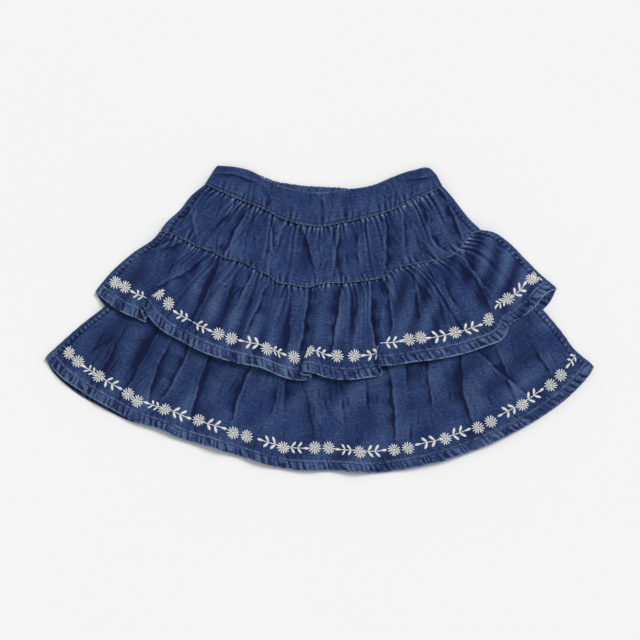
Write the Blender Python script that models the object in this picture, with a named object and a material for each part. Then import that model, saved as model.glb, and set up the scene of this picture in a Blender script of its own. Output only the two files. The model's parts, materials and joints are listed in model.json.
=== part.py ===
"""A child's tiered skirt in chambray, lying flat on its back with its front up.

Eight cloth panels, each a closed wall of its own: waistband, yoke, upper ruffle and lower
tier, front and back. The back panels lie on the surface z = 0, the front panels lie on them,
and the upper ruffle lies over the top of the lower tier. A panel is a patch between its top
seam, its hem and its two side edges. Its underside gets its height from the puff of the
cloth, its gathers and its creases, and is then lifted clear of the panels that it lies on.

World frame: X across the skirt, Y from hem to waist, Z up off the surface. The origin is the
middle of the skirt's plan box, on the surface. Sizes in this file are in millimetres.
"""

import bpy
import numpy as np

MM = 0.001

# cloth
WALL = 1.0              # thickness of a panel
HEM_WALL = 1.4          # thickness of the turned hem
LAYER_GAP = 0.35        # air between a panel and what it lies on
SEAM_GAP = 0.5          # air between two panels at the seam that joins them
SIDE_FADE = 0.07        # share of the width over which the puff dies away at a side seam
HEM_EVENING = 0.04      # share of the hem's length, to each side, over which it is evened
EVENING_STEPS = (-1.0, -0.75, -0.5, -0.25, 0.0, 0.25, 0.5, 0.75, 1.0)
FOLD_OPENS = (0.55, 1.0)    # share of the way down over which the hem's folds open
HEM_RULES = (0.2, 0.6)      # and over which the hem's height takes over from the puff
CREASES_END = (0.8, 1.0)    # and over which the front creases give way to the hem's waves

# the map of heights on which each panel is laid
MAP_CELL = 1.5
MAP_X = 320.0
MAP_Y = 200.0
FINE_DOWN = 14
FINE_ACROSS = 5
BED_REACH = 4
SETTLE_ROUNDS = 12
SETTLED = 0.02
TOUCHING = 0.03

# where each cloth edge runs, seen from above: x, y
BAND_TOP_FRONT = (
    (-107, 161), (-91, 160), (-73, 156), (-56, 147), (-41, 140), (-20, 135), (2, 133),
    (27, 136), (57, 141), (76, 149), (97, 156), (116, 158), (121, 153),
)
BAND_TOP_BACK = (
    (-107, 161), (-83, 158), (-60, 150), (-47, 145), (-31, 142), (-15, 140), (2, 139),
    (22, 138), (34, 137), (57, 141), (76, 148), (97, 155), (116, 157), (121, 153),
)
WAIST_SEAM = (
    (-119, 141), (-102, 133), (-80, 124), (-60, 116), (-39, 105), (-18, 99), (2, 97),
    (24, 101), (47, 106), (72, 113), (95, 123), (114, 132), (128, 139),
)
YOKE_SEAM = (
    (-166, 92), (-146, 85), (-125, 75), (-109, 69), (-100, 64), (-83, 60), (-67, 52),
    (-54, 46), (-43, 38), (-29, 36), (-13, 33), (3, 37), (27, 38), (53, 41), (68, 44),
    (78, 52), (97, 57), (121, 61), (136, 65), (147, 73), (152, 81), (158, 88), (168, 93),
)
YOKE_LEFT = ((-119, 141), (-134, 129), (-146, 114), (-159, 102), (-166, 92))
YOKE_RIGHT = ((128, 139), (139, 127), (150, 113), (159, 102), (168, 93))
UPPER_LEFT = ((-166, 92), (-172, 85), (-195, 69), (-217, 50), (-235, 28))
UPPER_RIGHT = ((168, 93), (183, 90), (198, 80), (215, 63), (233, 45), (249, 32))
LOWER_LEFT = ((-166, 92), (-178, 71), (-199, 40), (-222, 15), (-249, -6), (-288, -41))
LOWER_RIGHT = (
    (168, 93), (191, 61), (211, 34), (233, 10), (256, -17), (265, -30), (288, -50),
)

# the hems, seen from above: x, y and, at the front, height off what they lie on.
# The upper ruffle's front hem turns back on itself three times; the right-hand part of
# each fold lies on the left-hand part, with the turned-back part between them.
UPPER_HEM_FRONT = (
    (-235, 28, 0.3), (-222, 18, 1.5), (-203, 6, 3.5), (-191, 1, 1.0), (-184, -2.5, 0.0),
    (-181.5, -3, 1.2), (-183, 1, 2.0), (-185, 6, 2.8), (-187, 12, 3.6), (-187.5, 14, 4.4),
    (-185, 13.5, 5.4), (-178, 3, 5.6), (-165, -11, 3.8), (-146, -22, 1.5), (-120, -35, 4.2),
    (-89, -45, 3.2), (-60, -51, 4.4), (-36, -61, 2.2), (-21, -64, 0.4), (-11, -63, 0.0),
    (-7.5, -61, 1.5), (-11.5, -59.2, 2.9), (-16.5, -58.4, 3.6), (-20.5, -56.6, 4.6),
    (-15.5, -54.6, 6.4), (-7, -56, 6.2), (6, -60.5, 3.8), (32, -63, 4.6),
    (50, -61, 1.2), (61.5, -59.3, 0.0), (65.5, -57, 1.5), (64, -53, 3.4), (61.5, -49.4, 5.2),
    (66, -48.2, 6.2), (74, -48, 5.8), (95, -45, 3.4), (121, -42, 4.6),
    (150, -36, 2.6), (174, -28, 5.0), (190, -21, 6.0), (195, -14, 4.2), (197, -7, 2.6),
    (211, 2, 3.4), (226, 14, 4.6), (233, 23, 4.0), (242, 29, 2.0), (249, 32, 0.4),
)
UPPER_HEM_BACK = (
    (-235, 28), (-227, 16), (-218, 9), (-183, -7), (-125, -31), (-60, -50), (1, -57),
    (64, -51), (127, -39), (184, -20), (221, 0), (242, 18), (249, 32),
)
LOWER_HEM_FRONT = (
    (-288, -41, 0.3), (-275, -57, 2.6), (-251, -75, 1.2), (-222, -92, 3.2), (-193, -108, 1.2),
    (-167, -116, 3.6), (-144, -126, 1.4), (-115, -134, 4.2), (-92, -141, 2.0),
    (-66, -149, 4.4), (-36, -157, 1.6), (-12, -158.5, 3.4), (8, -159, 1.6), (34, -160, 4.2),
    (58, -161, 2.2), (85, -158, 1.2), (106, -154, 3.8), (132, -148, 4.4), (165, -137, 1.4),
    (188, -127, 3.6), (215, -113, 4.6), (241, -97, 2.0), (270, -73, 3.4), (284, -57, 1.6),
    (288, -50, 0.4),
)
LOWER_HEM_BACK = (
    (-288, -41), (-281, -54), (-260, -74), (-230, -92), (-199, -107), (-167, -115),
    (-115, -132), (-52, -150), (11, -156), (85, -155), (158, -137), (232, -102),
    (274, -69), (288, -50),
)

# creases: start x, start y, end x, end y, bow to the left, half width, depth (a ridge is
# below zero)
BAND_FRONT_CREASES = (
    (-112, 153, -70, 143, 3, 5.0, 0.8),
    (121, 150, 94, 147, 2, 5.0, 0.8),
    (2, 132, 3, 112, 0, 3.0, 0.5),
    (-20, 118, 40, 116, -3, 9.0, -0.8),
)
YOKE_FRONT_CREASES = (
    (-73, 121, -102, 64, -2, 6.0, 3.4),
    (-88, 124, -107, 99, 3, 4.5, 2.0),
    (-20, 96, -7, 54, 1, 4.5, 2.6),
    (-51, 104, -48, 73, 1, 4.0, 1.6),
    (-36, 102, -46, 75, -1, 4.0, -1.4),
    (22, 98, 15, 46, 1, 4.0, 1.7),
    (47, 102, 49, 88, 0, 4.0, 1.2),
    (70, 106, 69, 46, 2, 4.5, 2.4),
    (106, 122, 112, 102, 1, 4.5, 1.6),
    (118, 92, 133, 71, -3, 4.5, 1.8),
    (127, 134, 149, 78, 2, 5.0, 2.8),
    (-136, 116, -128, 84, 1, 6.0, -1.2),
)
UPPER_FRONT_CREASES = (
    (-104, 64, -136, -6, 1, 6.0, 3.6),
    (-113, 71, -170, 33, 4, 5.0, 2.4),
    (-151, 85, -173, 76, 0, 4.0, 1.4),
    (-142, 80, -167, 73, 1, 4.0, 1.2),
    (-70, 52, -88, 15, 0, 4.0, 1.6),
    (-56, 31, -75, -11, 1, 5.0, 2.2),
    (-31, 22, -34, -32, 0, 9.0, 2.8),
    (-10, 33, -20, -36, 1, 5.0, 3.4),
    (22, 36, 12, -32, 0, 4.5, 2.8),
    (55, 36, 62, -36, -3, 4.5, 2.8),
    (67, 41, 74, -11, 2, 4.5, 2.4),
    (72, 43, 78, 20, 0, 4.0, -1.2),
    (138, 66, 179, 1, 7, 6.0, 3.4),
    (151, 73, 174, 36, -2, 5.0, 2.0),
    (106, 36, 118, 18, 0, 4.5, 1.3),
    (132, 36, 142, 15, 0, 4.5, 1.4),
    (193, 83, 218, 54, 0, 4.0, 1.4),
    (-195, 66, -209, 50, 0, 4.5, 1.2),
)
LOWER_FRONT_CREASES = (
    (-170, -12, -198, -64, -1, 5.5, 2.6),
    (-157, -27, -178, -85, -3, 6.0, 2.8),
    (-138, -30, -164, -80, 1, 5.5, 2.2),
    (-115, -38, -136, -111, -1, 7.0, 3.4),
    (-71, -48, -92, -104, -3, 6.0, 3.0),
    (-34, -64, -37, -90, 0, 6.0, 1.8),
    (-17, -66, -6, -127, 1, 7.0, 2.4),
    (49, -69, 51, -90, 0, 5.0, 1.4),
    (72, -53, 79, -122, 1, 6.0, 3.2),
    (90, -45, 93, -69, 0, 6.0, 1.4),
    (148, -40, 161, -111, -5, 6.5, 3.2),
    (166, -32, 221, -80, -1, 6.0, 1.8),
    (226, -32, 240, -55, 0, 6.0, 1.4),
    (-247, -6, -262, -22, 1, 4.5, 1.0),
)
YOKE_BACK_CREASES = (
    (-84, 118, -112, 78, 1, 5.0, -1.8),
    (-24, 96, -30, 50, 1, 5.0, -1.6),
    (38, 100, 34, 56, -1, 5.0, -1.8),
    (98, 118, 120, 80, 1, 5.0, -1.6),
)
UPPER_BACK_CREASES = (
    (-140, 76, -186, 24, 2, 6.0, -1.8),
    (-88, 56, -112, -10, 1, 6.0, -2.0),
    (-20, 32, -30, -40, 1, 6.0, -1.6),
    (48, 38, 54, -36, -1, 6.0, -2.0),
    (118, 58, 148, 0, 2, 6.0, -1.8),
    (168, 84, 206, 36, 2, 6.0, -1.4),
)
LOWER_BACK_CREASES = (
    (-196, -20, -226, -78, 1, 7.0, -2.2),
    (-140, -36, -160, -100, -1, 7.0, -2.0),
    (-84, -60, -98, -126, 1, 7.0, -2.4),
    (-6, -64, -10, -140, 0, 7.0, -2.0),
    (66, -60, 76, -136, 1, 7.0, -2.2),
    (124, -48, 150, -116, -1, 7.0, -2.4),
    (196, -24, 232, -80, 2, 7.0, -2.0),
)

# share of the way from the top seam to the hem at which the rows of a panel's points lie
BAND_FRONT_ROWS = (0.0, 0.12, 0.5, 0.88, 1.0)
BAND_BACK_ROWS = (0.0, 0.5, 1.0)
YOKE_ROWS = (0.0, 0.14, 0.38, 0.64, 0.86, 1.0)
UPPER_ROWS = (0.0, 0.1, 0.26, 0.46, 0.66, 0.8, 0.91, 1.0)
LOWER_ROWS = (0.0, 0.25, 0.48, 0.6, 0.72, 0.84, 0.94, 1.0)
BACK_ROWS = (0.0, 0.2, 0.45, 0.7, 0.9, 1.0)
LOWER_BACK_ROWS = (0.0, 0.3, 0.58, 0.72, 0.9, 1.0)

CHAMBRAY = (0.047, 0.075, 0.185, 1.0)
CHAMBRAY_ROUGHNESS = 0.9


def curve(rows):
    """Return a function from 0..1, by length seen from above, to points on a smooth curve.

    The curve goes through every row and leaves each along the line between its neighbours.
    """
    knots = np.array(rows, dtype=float)
    steps = np.hypot(*np.diff(knots[:, :2], axis=0).T)
    at = np.concatenate(([0.0], np.cumsum(steps)))
    slopes = np.gradient(knots, at, axis=0)

    def points(share):
        where = np.asarray(share, dtype=float) * at[-1]
        left = np.clip(np.searchsorted(at, where, side="right") - 1, 0, len(at) - 2)
        span = (at[left + 1] - at[left])[:, None]
        u = (where[:, None] - at[left][:, None]) / span
        return (
            (2 * u**3 - 3 * u**2 + 1) * knots[left]
            + (u**3 - 2 * u**2 + u) * span * slopes[left]
            + (3 * u**2 - 2 * u**3) * knots[left + 1]
            + (u**3 - u**2) * span * slopes[left + 1]
        )

    return points


def hem_columns(rows, step):
    """Places along a hem from 0 to 1: every row of its table, and even steps between."""
    lengths = np.hypot(*np.diff(np.array(rows)[:, :2], axis=0).T)
    ends = np.concatenate(([0.0], np.cumsum(lengths))) / lengths.sum()
    parts = np.ceil(lengths / step).astype(int)
    runs = [np.linspace(a, b, n, endpoint=False) for a, b, n in zip(ends, ends[1:], parts)]
    return np.concatenate(runs + [[1.0]])


def ease(value, low, high):
    """Rise smoothly from 0 at low to 1 at high."""
    u = np.clip((value - low) / (high - low), 0.0, 1.0)
    return u * u * (3 - 2 * u)


def patch(top, hem, left, right, across, down):
    """Fill in the plan between four edge curves: the sum of the two straight blends, from
    top to hem and from side to side, less the blend of the four corners. The hem's turned
    back folds open only on the last stretch, out of an evened hem line."""
    top_line = curve(top)(across)[None, :, :2]
    true_hem = curve(hem)(across)[None, :, :2]
    reach = np.minimum(np.minimum(across, 1 - across), HEM_EVENING)
    even_hem = sum(curve(hem)(across + reach * step) for step in EVENING_STEPS)
    even_hem = even_hem[None, :, :2] / len(EVENING_STEPS)
    opened = ease(down, *FOLD_OPENS)[:, None, None]
    hem_line = even_hem + (true_hem - even_hem) * opened
    left_line = curve(left)(down)[:, None, :2]
    right_line = curve(right)(down)[:, None, :2]
    s = across[None, :, None]
    t = down[:, None, None]
    corners = (
        (1 - t) * ((1 - s) * top_line[:, :1] + s * top_line[:, -1:])
        + t * ((1 - s) * true_hem[:, :1] + s * true_hem[:, -1:])
    )
    return (1 - t) * top_line + t * hem_line + (1 - s) * left_line + s * right_line - corners


def trim(plan, row, neighbour):
    """Draw one edge row of a plan back from its seam by half the seam's gap."""
    along = np.gradient(plan[row], axis=0)
    square = np.stack((-along[:, 1], along[:, 0]), axis=1)
    square *= np.sign(np.sum(square * (plan[neighbour] - plan[row])))
    plan[row] += square / np.linalg.norm(square, axis=1, keepdims=True) * SEAM_GAP / 2


def crease_height(plan, rows):
    """Add up the creases at each plan point. Each is a bell across its bowed line, which
    fades towards both ends, with a low lip of the opposite sign along each side."""
    total = np.zeros(plan.shape[:2])
    along = np.linspace(0.0, 1.0, 13)
    for x0, y0, x1, y1, bow, half_width, depth in rows:
        start = np.array((x0, y0), dtype=float)
        run = np.array((x1, y1), dtype=float) - start
        side = np.array((-run[1], run[0])) / np.linalg.norm(run)
        line = start + run * along[:, None] + side * (4 * bow * along * (1 - along))[:, None]
        apart = np.linalg.norm(plan[:, :, None, :] - line, axis=3)
        nearest = apart.argmin(axis=2)
        off = apart.min(axis=2) / half_width
        strength = 0.35 + 0.65 * np.sin(np.pi * (0.12 + 0.76 * along[nearest]))
        total -= depth * strength * (np.exp(-off**2) - 0.35 * np.exp(-((off - 2.1) ** 2)))
    return total


def gather_height(across, down, count, depth, reach):
    """Small uneven waves along the top seam, dying away within a share of the panel."""
    wave = np.sin(2 * np.pi * count * across + 1.7 * np.sin(2 * np.pi * 5 * across + 0.6))
    swell = 0.65 + 0.35 * np.sin(2 * np.pi * 3 * across + 1.1)
    fade = np.exp(-((down / reach) ** 2))
    return depth * (wave * swell)[None, :] * fade[:, None]


def fine_points(grid):
    """Points spread over every cell of a grid, and the cell's row and column for each."""
    rows, columns = grid.shape[:2]
    down = np.linspace(0, rows - 1, (rows - 1) * FINE_DOWN + 1)
    across = np.linspace(0, columns - 1, (columns - 1) * FINE_ACROSS + 1)
    i = np.minimum(down.astype(int), rows - 2)
    j = np.minimum(across.astype(int), columns - 2)
    v = (down - i)[:, None, None]
    u = (across - j)[None, :, None]
    near = grid[i][:, j] * (1 - u) + grid[i][:, j + 1] * u
    far = grid[i + 1][:, j] * (1 - u) + grid[i + 1][:, j + 1] * u
    return near * (1 - v) + far * v, i, j


def map_cells(points):
    """Row and column of the height map under each point."""
    column = ((points[..., 0] + MAP_X) / MAP_CELL).astype(int)
    row = ((points[..., 1] + MAP_Y) / MAP_CELL).astype(int)
    return row, column


def height_map(sheets):
    """Highest cloth of some sheets over each cell of the map, and one cell around it."""
    shape = (int(2 * MAP_Y / MAP_CELL), int(2 * MAP_X / MAP_CELL))
    highest = np.full(shape, -1.0)
    for sheet in sheets:
        points = fine_points(sheet)[0]
        np.maximum.at(highest, map_cells(points), points[..., 2])
    spread = highest.copy()
    for down in (-1, 0, 1):
        for across in (-1, 0, 1):
            shifted = np.roll(np.roll(highest, down, axis=0), across, axis=1)
            spread = np.maximum(spread, shifted)
    return spread


def widen(field, join):
    """Join each map cell with those up to BED_REACH cells away, along both axes."""
    for axis in (0, 1):
        field = join([np.roll(field, step, axis=axis)
                      for step in range(-BED_REACH, BED_REACH + 1)], axis=0)
    return field


def bed_height(plan, ground):
    """Smooth height at each plan point on which a panel lies: the highest cloth nearby,
    evened out."""
    bed = widen(widen(np.maximum(ground, -LAYER_GAP), np.max), np.mean)
    return bed[map_cells(plan)] + LAYER_GAP


def wall_sides(middle, thickness):
    """The two sides of a wall, half its thickness off its middle surface along the normal.
    An underside that all but touches the surface at z = 0 lies on it."""
    normal = np.cross(np.gradient(middle, axis=0), np.gradient(middle, axis=1))
    normal /= np.linalg.norm(normal, axis=2, keepdims=True)
    offset = normal * thickness[:, None, None] / 2
    under = middle - offset
    under[..., 2] = np.where(under[..., 2] < TOUCHING, 0.0, under[..., 2])
    return under, middle + offset


def settle(middle, thickness, ground):
    """Lift a panel clear of the cloth below: wherever a cell's underside is too low, its
    four corners go up by the most that any of its points lacks. Return the two sides."""
    for _ in range(SETTLE_ROUNDS):
        under, outer = wall_sides(middle, thickness)
        points, i, j = fine_points(under)
        lack = ground[map_cells(points)] + LAYER_GAP - points[..., 2]
        if lack.max() < SETTLED:
            break
        lift = np.zeros(middle.shape[:2])
        for down in (0, 1):
            for across in (0, 1):
                cells = (np.broadcast_to((i + down)[:, None], lack.shape),
                         np.broadcast_to((j + across)[None, :], lack.shape))
                np.maximum.at(lift, cells, np.maximum(lack, 0.0))
        middle[..., 2] += lift
    return under, outer


def wall_mesh(name, under, outer, material):
    """Close a wall: its underside, its outer side and the rim all round."""
    rows, columns = under.shape[:2]
    index = np.arange(rows * columns).reshape(rows, columns)
    a, b = index[:-1, :-1], index[1:, :-1]
    c, d = index[1:, 1:], index[:-1, 1:]
    low = np.stack((a, d, c, b), axis=-1).reshape(-1, 4)
    high = np.stack((a, b, c, d), axis=-1).reshape(-1, 4) + rows * columns
    rim = np.concatenate((index[:, 0], index[-1, 1:], index[-2::-1, -1], index[0, -2:0:-1]))
    after = np.roll(rim, -1)
    side = np.stack((rim, after, after + rows * columns, rim + rows * columns), axis=-1)
    points = np.concatenate((under.reshape(-1, 3), outer.reshape(-1, 3))) * MM
    mesh = bpy.data.meshes.new(name)
    mesh.from_pydata(points.tolist(), [], np.concatenate((low, high, side)).tolist())
    mesh.shade_smooth()
    mesh.set_sharp_from_angle(angle=np.radians(50))
    mesh.materials.append(material)
    panel = bpy.data.objects.new(name, mesh)
    bpy.context.scene.collection.objects.link(panel)


def lay_panel(name, plan, height, thickness, below, material):
    """Lay a panel at its height over its bed, settle it, close its wall, and return its
    outer side for the panels that lie on it."""
    ground = height_map(below)
    lowest = bed_height(plan, ground) + thickness[:, None] / 2
    middle = np.dstack((plan, lowest + np.maximum(height, 0.0)))
    under, outer = settle(middle, thickness, ground)
    wall_mesh(name, under, outer, material)
    return outer


def hem_thickness(down, turned):
    """One layer of cloth, thicker over the rows of the turned hem."""
    return np.where(down >= turned, HEM_WALL, WALL)


def side_puff(across):
    """One over the middle of a panel, dying away to nothing at its two side seams."""
    return ease(across, 0.0, SIDE_FADE) * ease(1 - across, 0.0, SIDE_FADE)


def waistband(name, top, creases, puff, ribs, depth, columns, rows, below, material):
    """A band between its top edge and the waist seam, ribbed where elastic gathers it."""
    across = np.linspace(0.0, 1.0, columns)
    down = np.array(rows)
    left = (top[0], WAIST_SEAM[0])
    right = (top[-1], WAIST_SEAM[-1])
    plan = patch(top, WAIST_SEAM, left, right, across, down)
    trim(plan, -1, -2)
    height = np.full(plan.shape[:2], puff) * side_puff(across)
    height += depth * np.sin(2 * np.pi * ribs * across)[None, :]
    height += crease_height(plan, creases)
    return lay_panel(name, plan, height, np.full(len(down), WALL), below, material)


def yoke(name, creases, top_puff, low_puff, gathers, columns, rows, below, material):
    """The fitted tier between the waist seam and the seam that carries the ruffles."""
    across = np.linspace(0.0, 1.0, columns)
    down = np.array(rows)
    plan = patch(WAIST_SEAM, YOKE_SEAM, YOKE_LEFT, YOKE_RIGHT, across, down)
    trim(plan, 0, 1)
    trim(plan, -1, -2)
    puff = top_puff + (low_puff - top_puff) * ease(down, 0.0, 1.0)
    height = puff[:, None] * side_puff(across) + crease_height(plan, creases)
    height += gather_height(across, down, gathers, 0.6, 0.3)
    return lay_panel(name, plan, height, np.full(len(down), WALL), below, material)


def back_tier(name, hem, left, right, creases, gathers, step, rows, below, material):
    """The back of a gathered tier, flat but for its gathers and creases."""
    across = hem_columns(hem, step)
    down = np.array(rows)
    plan = patch(YOKE_SEAM, hem, left, right, across, down)
    trim(plan, 0, 1)
    height = crease_height(plan, creases) + gather_height(across, down, gathers, 0.8, 0.22)
    thickness = hem_thickness(down, rows[-2])
    return lay_panel(name, plan, height, thickness, below, material)


def front_tier(name, hem, left, right, creases, puff, gathers, step, rows, below, material):
    """The front of a gathered tier. Its puff gives way to the hem's own height on the way
    down, so that the hem's folds open out like fans."""
    across = hem_columns(hem, step)
    down = np.array(rows)
    plan = patch(YOKE_SEAM, hem, left, right, across, down)
    trim(plan, 0, 1)
    hem_height = curve(hem)(across)[None, :, 2]
    share = ease(down, *HEM_RULES)[:, None]
    height = puff * side_puff(across) * (1 - share) + hem_height * share
    height += crease_height(plan, creases) * (1 - ease(down, *CREASES_END))[:, None]
    height += gather_height(across, down, gathers, 0.8, 0.22)
    thickness = hem_thickness(down, rows[-2])
    return lay_panel(name, plan, height, thickness, below, material)


def chambray_material():
    """Matt indigo chambray."""
    cloth = bpy.data.materials.new("chambray")
    cloth.use_nodes = True
    shader = cloth.node_tree.nodes["Principled BSDF"]
    shader.inputs["Base Color"].default_value = CHAMBRAY
    shader.inputs["Roughness"].default_value = CHAMBRAY_ROUGHNESS
    shader.inputs["Metallic"].default_value = 0.0
    return cloth


def main():
    """Lay the eight panels from the surface up."""
    for old in list(bpy.data.objects):
        bpy.data.objects.remove(old)
    cloth = chambray_material()
    band_back = waistband("waistband_back", BAND_TOP_BACK, (), 0.0, 36, 1.0, 145,
                          BAND_BACK_ROWS, [], cloth)
    waistband("waistband_front", BAND_TOP_FRONT, BAND_FRONT_CREASES, 0.8, 9, 0.25, 53,
              BAND_FRONT_ROWS, [band_back], cloth)
    yoke_back = yoke("yoke_back", YOKE_BACK_CREASES, 0.0, 0.0, 11, 45, BACK_ROWS, [], cloth)
    yoke("yoke_front", YOKE_FRONT_CREASES, 1.6, 3.6, 19, 73, YOKE_ROWS, [yoke_back], cloth)
    upper_back = back_tier("upper_ruffle_back", UPPER_HEM_BACK, UPPER_LEFT, UPPER_RIGHT,
                           UPPER_BACK_CREASES, 15, 8.5, BACK_ROWS, [], cloth)
    lower_back = back_tier("lower_tier_back", LOWER_HEM_BACK, LOWER_LEFT, LOWER_RIGHT,
                           LOWER_BACK_CREASES, 15, 9.5, LOWER_BACK_ROWS, [upper_back],
                           cloth)
    lower_front = front_tier("lower_tier_front", LOWER_HEM_FRONT, LOWER_LEFT, LOWER_RIGHT,
                             LOWER_FRONT_CREASES, 1.8, 15, 6.8, LOWER_ROWS,
                             [upper_back, lower_back], cloth)
    front_tier("upper_ruffle_front", UPPER_HEM_FRONT, UPPER_LEFT, UPPER_RIGHT,
               UPPER_FRONT_CREASES, 3.4, 25, 5.5, UPPER_ROWS,
               [upper_back, lower_back, lower_front], cloth)


main()
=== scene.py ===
"""A child's tiered skirt in washed indigo chambray, laid flat on its back with its front up.

Eight cloth panels, each a closed shell of one layer: waistband, yoke, upper ruffle and lower
tier, front and back. Each lies over a height map of the panels below it. On them go the side
seams' welts, the topstitching and a running border of embroidered daisies, leaves and buds.

X runs across the skirt, Y from hem to waist and Z up. Tables and functions work in
millimetres; meshes are made in metres.
"""

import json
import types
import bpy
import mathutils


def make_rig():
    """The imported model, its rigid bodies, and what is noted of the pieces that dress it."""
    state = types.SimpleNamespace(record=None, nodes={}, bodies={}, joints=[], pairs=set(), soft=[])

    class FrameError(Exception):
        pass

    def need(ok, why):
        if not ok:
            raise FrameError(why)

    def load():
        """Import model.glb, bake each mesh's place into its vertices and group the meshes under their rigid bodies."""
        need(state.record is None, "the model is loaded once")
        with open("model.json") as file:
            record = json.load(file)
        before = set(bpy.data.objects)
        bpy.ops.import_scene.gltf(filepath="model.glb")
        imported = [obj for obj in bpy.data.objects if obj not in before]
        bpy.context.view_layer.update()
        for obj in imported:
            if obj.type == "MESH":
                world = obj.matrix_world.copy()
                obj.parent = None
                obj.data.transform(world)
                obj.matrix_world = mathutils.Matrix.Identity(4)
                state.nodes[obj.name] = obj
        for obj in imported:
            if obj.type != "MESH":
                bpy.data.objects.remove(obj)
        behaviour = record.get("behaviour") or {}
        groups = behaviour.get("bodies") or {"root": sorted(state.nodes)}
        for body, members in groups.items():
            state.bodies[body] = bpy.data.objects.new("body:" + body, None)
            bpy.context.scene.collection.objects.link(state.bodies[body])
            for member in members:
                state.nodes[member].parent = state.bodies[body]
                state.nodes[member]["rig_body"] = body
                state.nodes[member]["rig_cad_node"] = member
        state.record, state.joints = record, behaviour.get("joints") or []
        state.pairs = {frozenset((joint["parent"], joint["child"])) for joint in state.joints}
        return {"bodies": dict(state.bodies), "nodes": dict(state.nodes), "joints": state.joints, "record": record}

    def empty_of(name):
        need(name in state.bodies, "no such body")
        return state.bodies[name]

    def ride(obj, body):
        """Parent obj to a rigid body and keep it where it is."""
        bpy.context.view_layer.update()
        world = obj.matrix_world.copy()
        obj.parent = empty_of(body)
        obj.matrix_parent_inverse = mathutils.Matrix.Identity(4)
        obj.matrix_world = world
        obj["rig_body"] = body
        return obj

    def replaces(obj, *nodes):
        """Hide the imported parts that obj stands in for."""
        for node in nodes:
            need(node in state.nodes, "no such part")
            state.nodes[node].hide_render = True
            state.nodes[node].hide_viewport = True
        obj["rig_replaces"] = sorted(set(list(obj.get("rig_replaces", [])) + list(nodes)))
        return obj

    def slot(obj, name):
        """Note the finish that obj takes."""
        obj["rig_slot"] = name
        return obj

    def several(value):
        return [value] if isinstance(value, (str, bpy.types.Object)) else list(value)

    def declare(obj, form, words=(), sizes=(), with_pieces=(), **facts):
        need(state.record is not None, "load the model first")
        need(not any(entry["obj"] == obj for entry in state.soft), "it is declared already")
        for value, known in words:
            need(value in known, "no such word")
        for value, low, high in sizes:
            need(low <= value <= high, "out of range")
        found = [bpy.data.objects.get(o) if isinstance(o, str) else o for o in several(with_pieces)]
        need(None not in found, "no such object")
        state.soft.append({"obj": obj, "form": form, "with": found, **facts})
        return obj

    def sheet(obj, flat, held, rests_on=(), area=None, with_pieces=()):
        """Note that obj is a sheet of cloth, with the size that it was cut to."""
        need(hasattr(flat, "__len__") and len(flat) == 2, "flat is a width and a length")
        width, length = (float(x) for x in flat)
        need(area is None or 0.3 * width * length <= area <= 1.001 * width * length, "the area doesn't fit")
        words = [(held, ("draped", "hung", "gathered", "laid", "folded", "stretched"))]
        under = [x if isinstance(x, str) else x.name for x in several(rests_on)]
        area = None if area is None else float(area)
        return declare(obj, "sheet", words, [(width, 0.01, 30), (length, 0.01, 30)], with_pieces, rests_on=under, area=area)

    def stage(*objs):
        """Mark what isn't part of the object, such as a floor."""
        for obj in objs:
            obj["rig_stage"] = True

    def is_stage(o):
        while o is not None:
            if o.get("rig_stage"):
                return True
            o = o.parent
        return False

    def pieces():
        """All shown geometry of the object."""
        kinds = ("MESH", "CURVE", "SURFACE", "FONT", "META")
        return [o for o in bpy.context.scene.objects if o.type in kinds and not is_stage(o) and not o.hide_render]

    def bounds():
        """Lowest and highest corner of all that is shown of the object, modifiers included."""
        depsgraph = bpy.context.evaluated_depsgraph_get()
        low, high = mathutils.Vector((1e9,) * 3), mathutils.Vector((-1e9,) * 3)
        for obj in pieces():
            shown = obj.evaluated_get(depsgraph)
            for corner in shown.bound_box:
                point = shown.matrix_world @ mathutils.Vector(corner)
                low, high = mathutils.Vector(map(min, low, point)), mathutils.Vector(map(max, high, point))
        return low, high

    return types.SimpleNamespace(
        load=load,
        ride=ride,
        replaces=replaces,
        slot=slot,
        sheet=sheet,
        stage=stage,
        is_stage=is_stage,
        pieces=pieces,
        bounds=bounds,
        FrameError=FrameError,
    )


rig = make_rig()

bl_info = {
    "name": "Tiered chambray skirt",
    "version": (1, 0, 0),
    "blender": (4, 5, 0),
    "location": "3D View > Sidebar > Skirt",
    "description": "Builds a gathered, embroidered tiered skirt, laid flat",
    "category": "Object",
}

import json

import bpy
import numpy as np

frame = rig.load()
CAD_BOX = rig.bounds()

MM = 0.001

# where each cloth edge runs, seen from above: x, y
BAND_TOP_FRONT = (
    (-107, 161), (-91, 160), (-73, 156), (-56, 147), (-41, 140), (-20, 135), (2, 133),
    (27, 136), (57, 141), (76, 149), (97, 156), (116, 158), (121, 153),
)
BAND_TOP_BACK = (
    (-107, 161), (-83, 158), (-60, 150), (-47, 145), (-31, 142), (-15, 140), (2, 139),
    (22, 138), (34, 137), (57, 141), (76, 148), (97, 155), (116, 157), (121, 153),
)
WAIST_SEAM = (
    (-119, 141), (-102, 133), (-80, 124), (-60, 116), (-39, 105), (-18, 99), (2, 97),
    (24, 101), (47, 106), (72, 113), (95, 123), (114, 132), (128, 139),
)
YOKE_SEAM = (
    (-166, 92), (-146, 85), (-125, 75), (-109, 69), (-100, 64), (-83, 60), (-67, 52),
    (-54, 46), (-43, 38), (-29, 36), (-13, 33), (3, 37), (27, 38), (53, 41), (68, 44),
    (78, 52), (97, 57), (121, 61), (136, 65), (147, 73), (152, 81), (158, 88), (168, 93),
)
YOKE_LEFT = ((-119, 141), (-134, 129), (-146, 114), (-159, 102), (-166, 92))
YOKE_RIGHT = ((128, 139), (139, 127), (150, 113), (159, 102), (168, 93))
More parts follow.
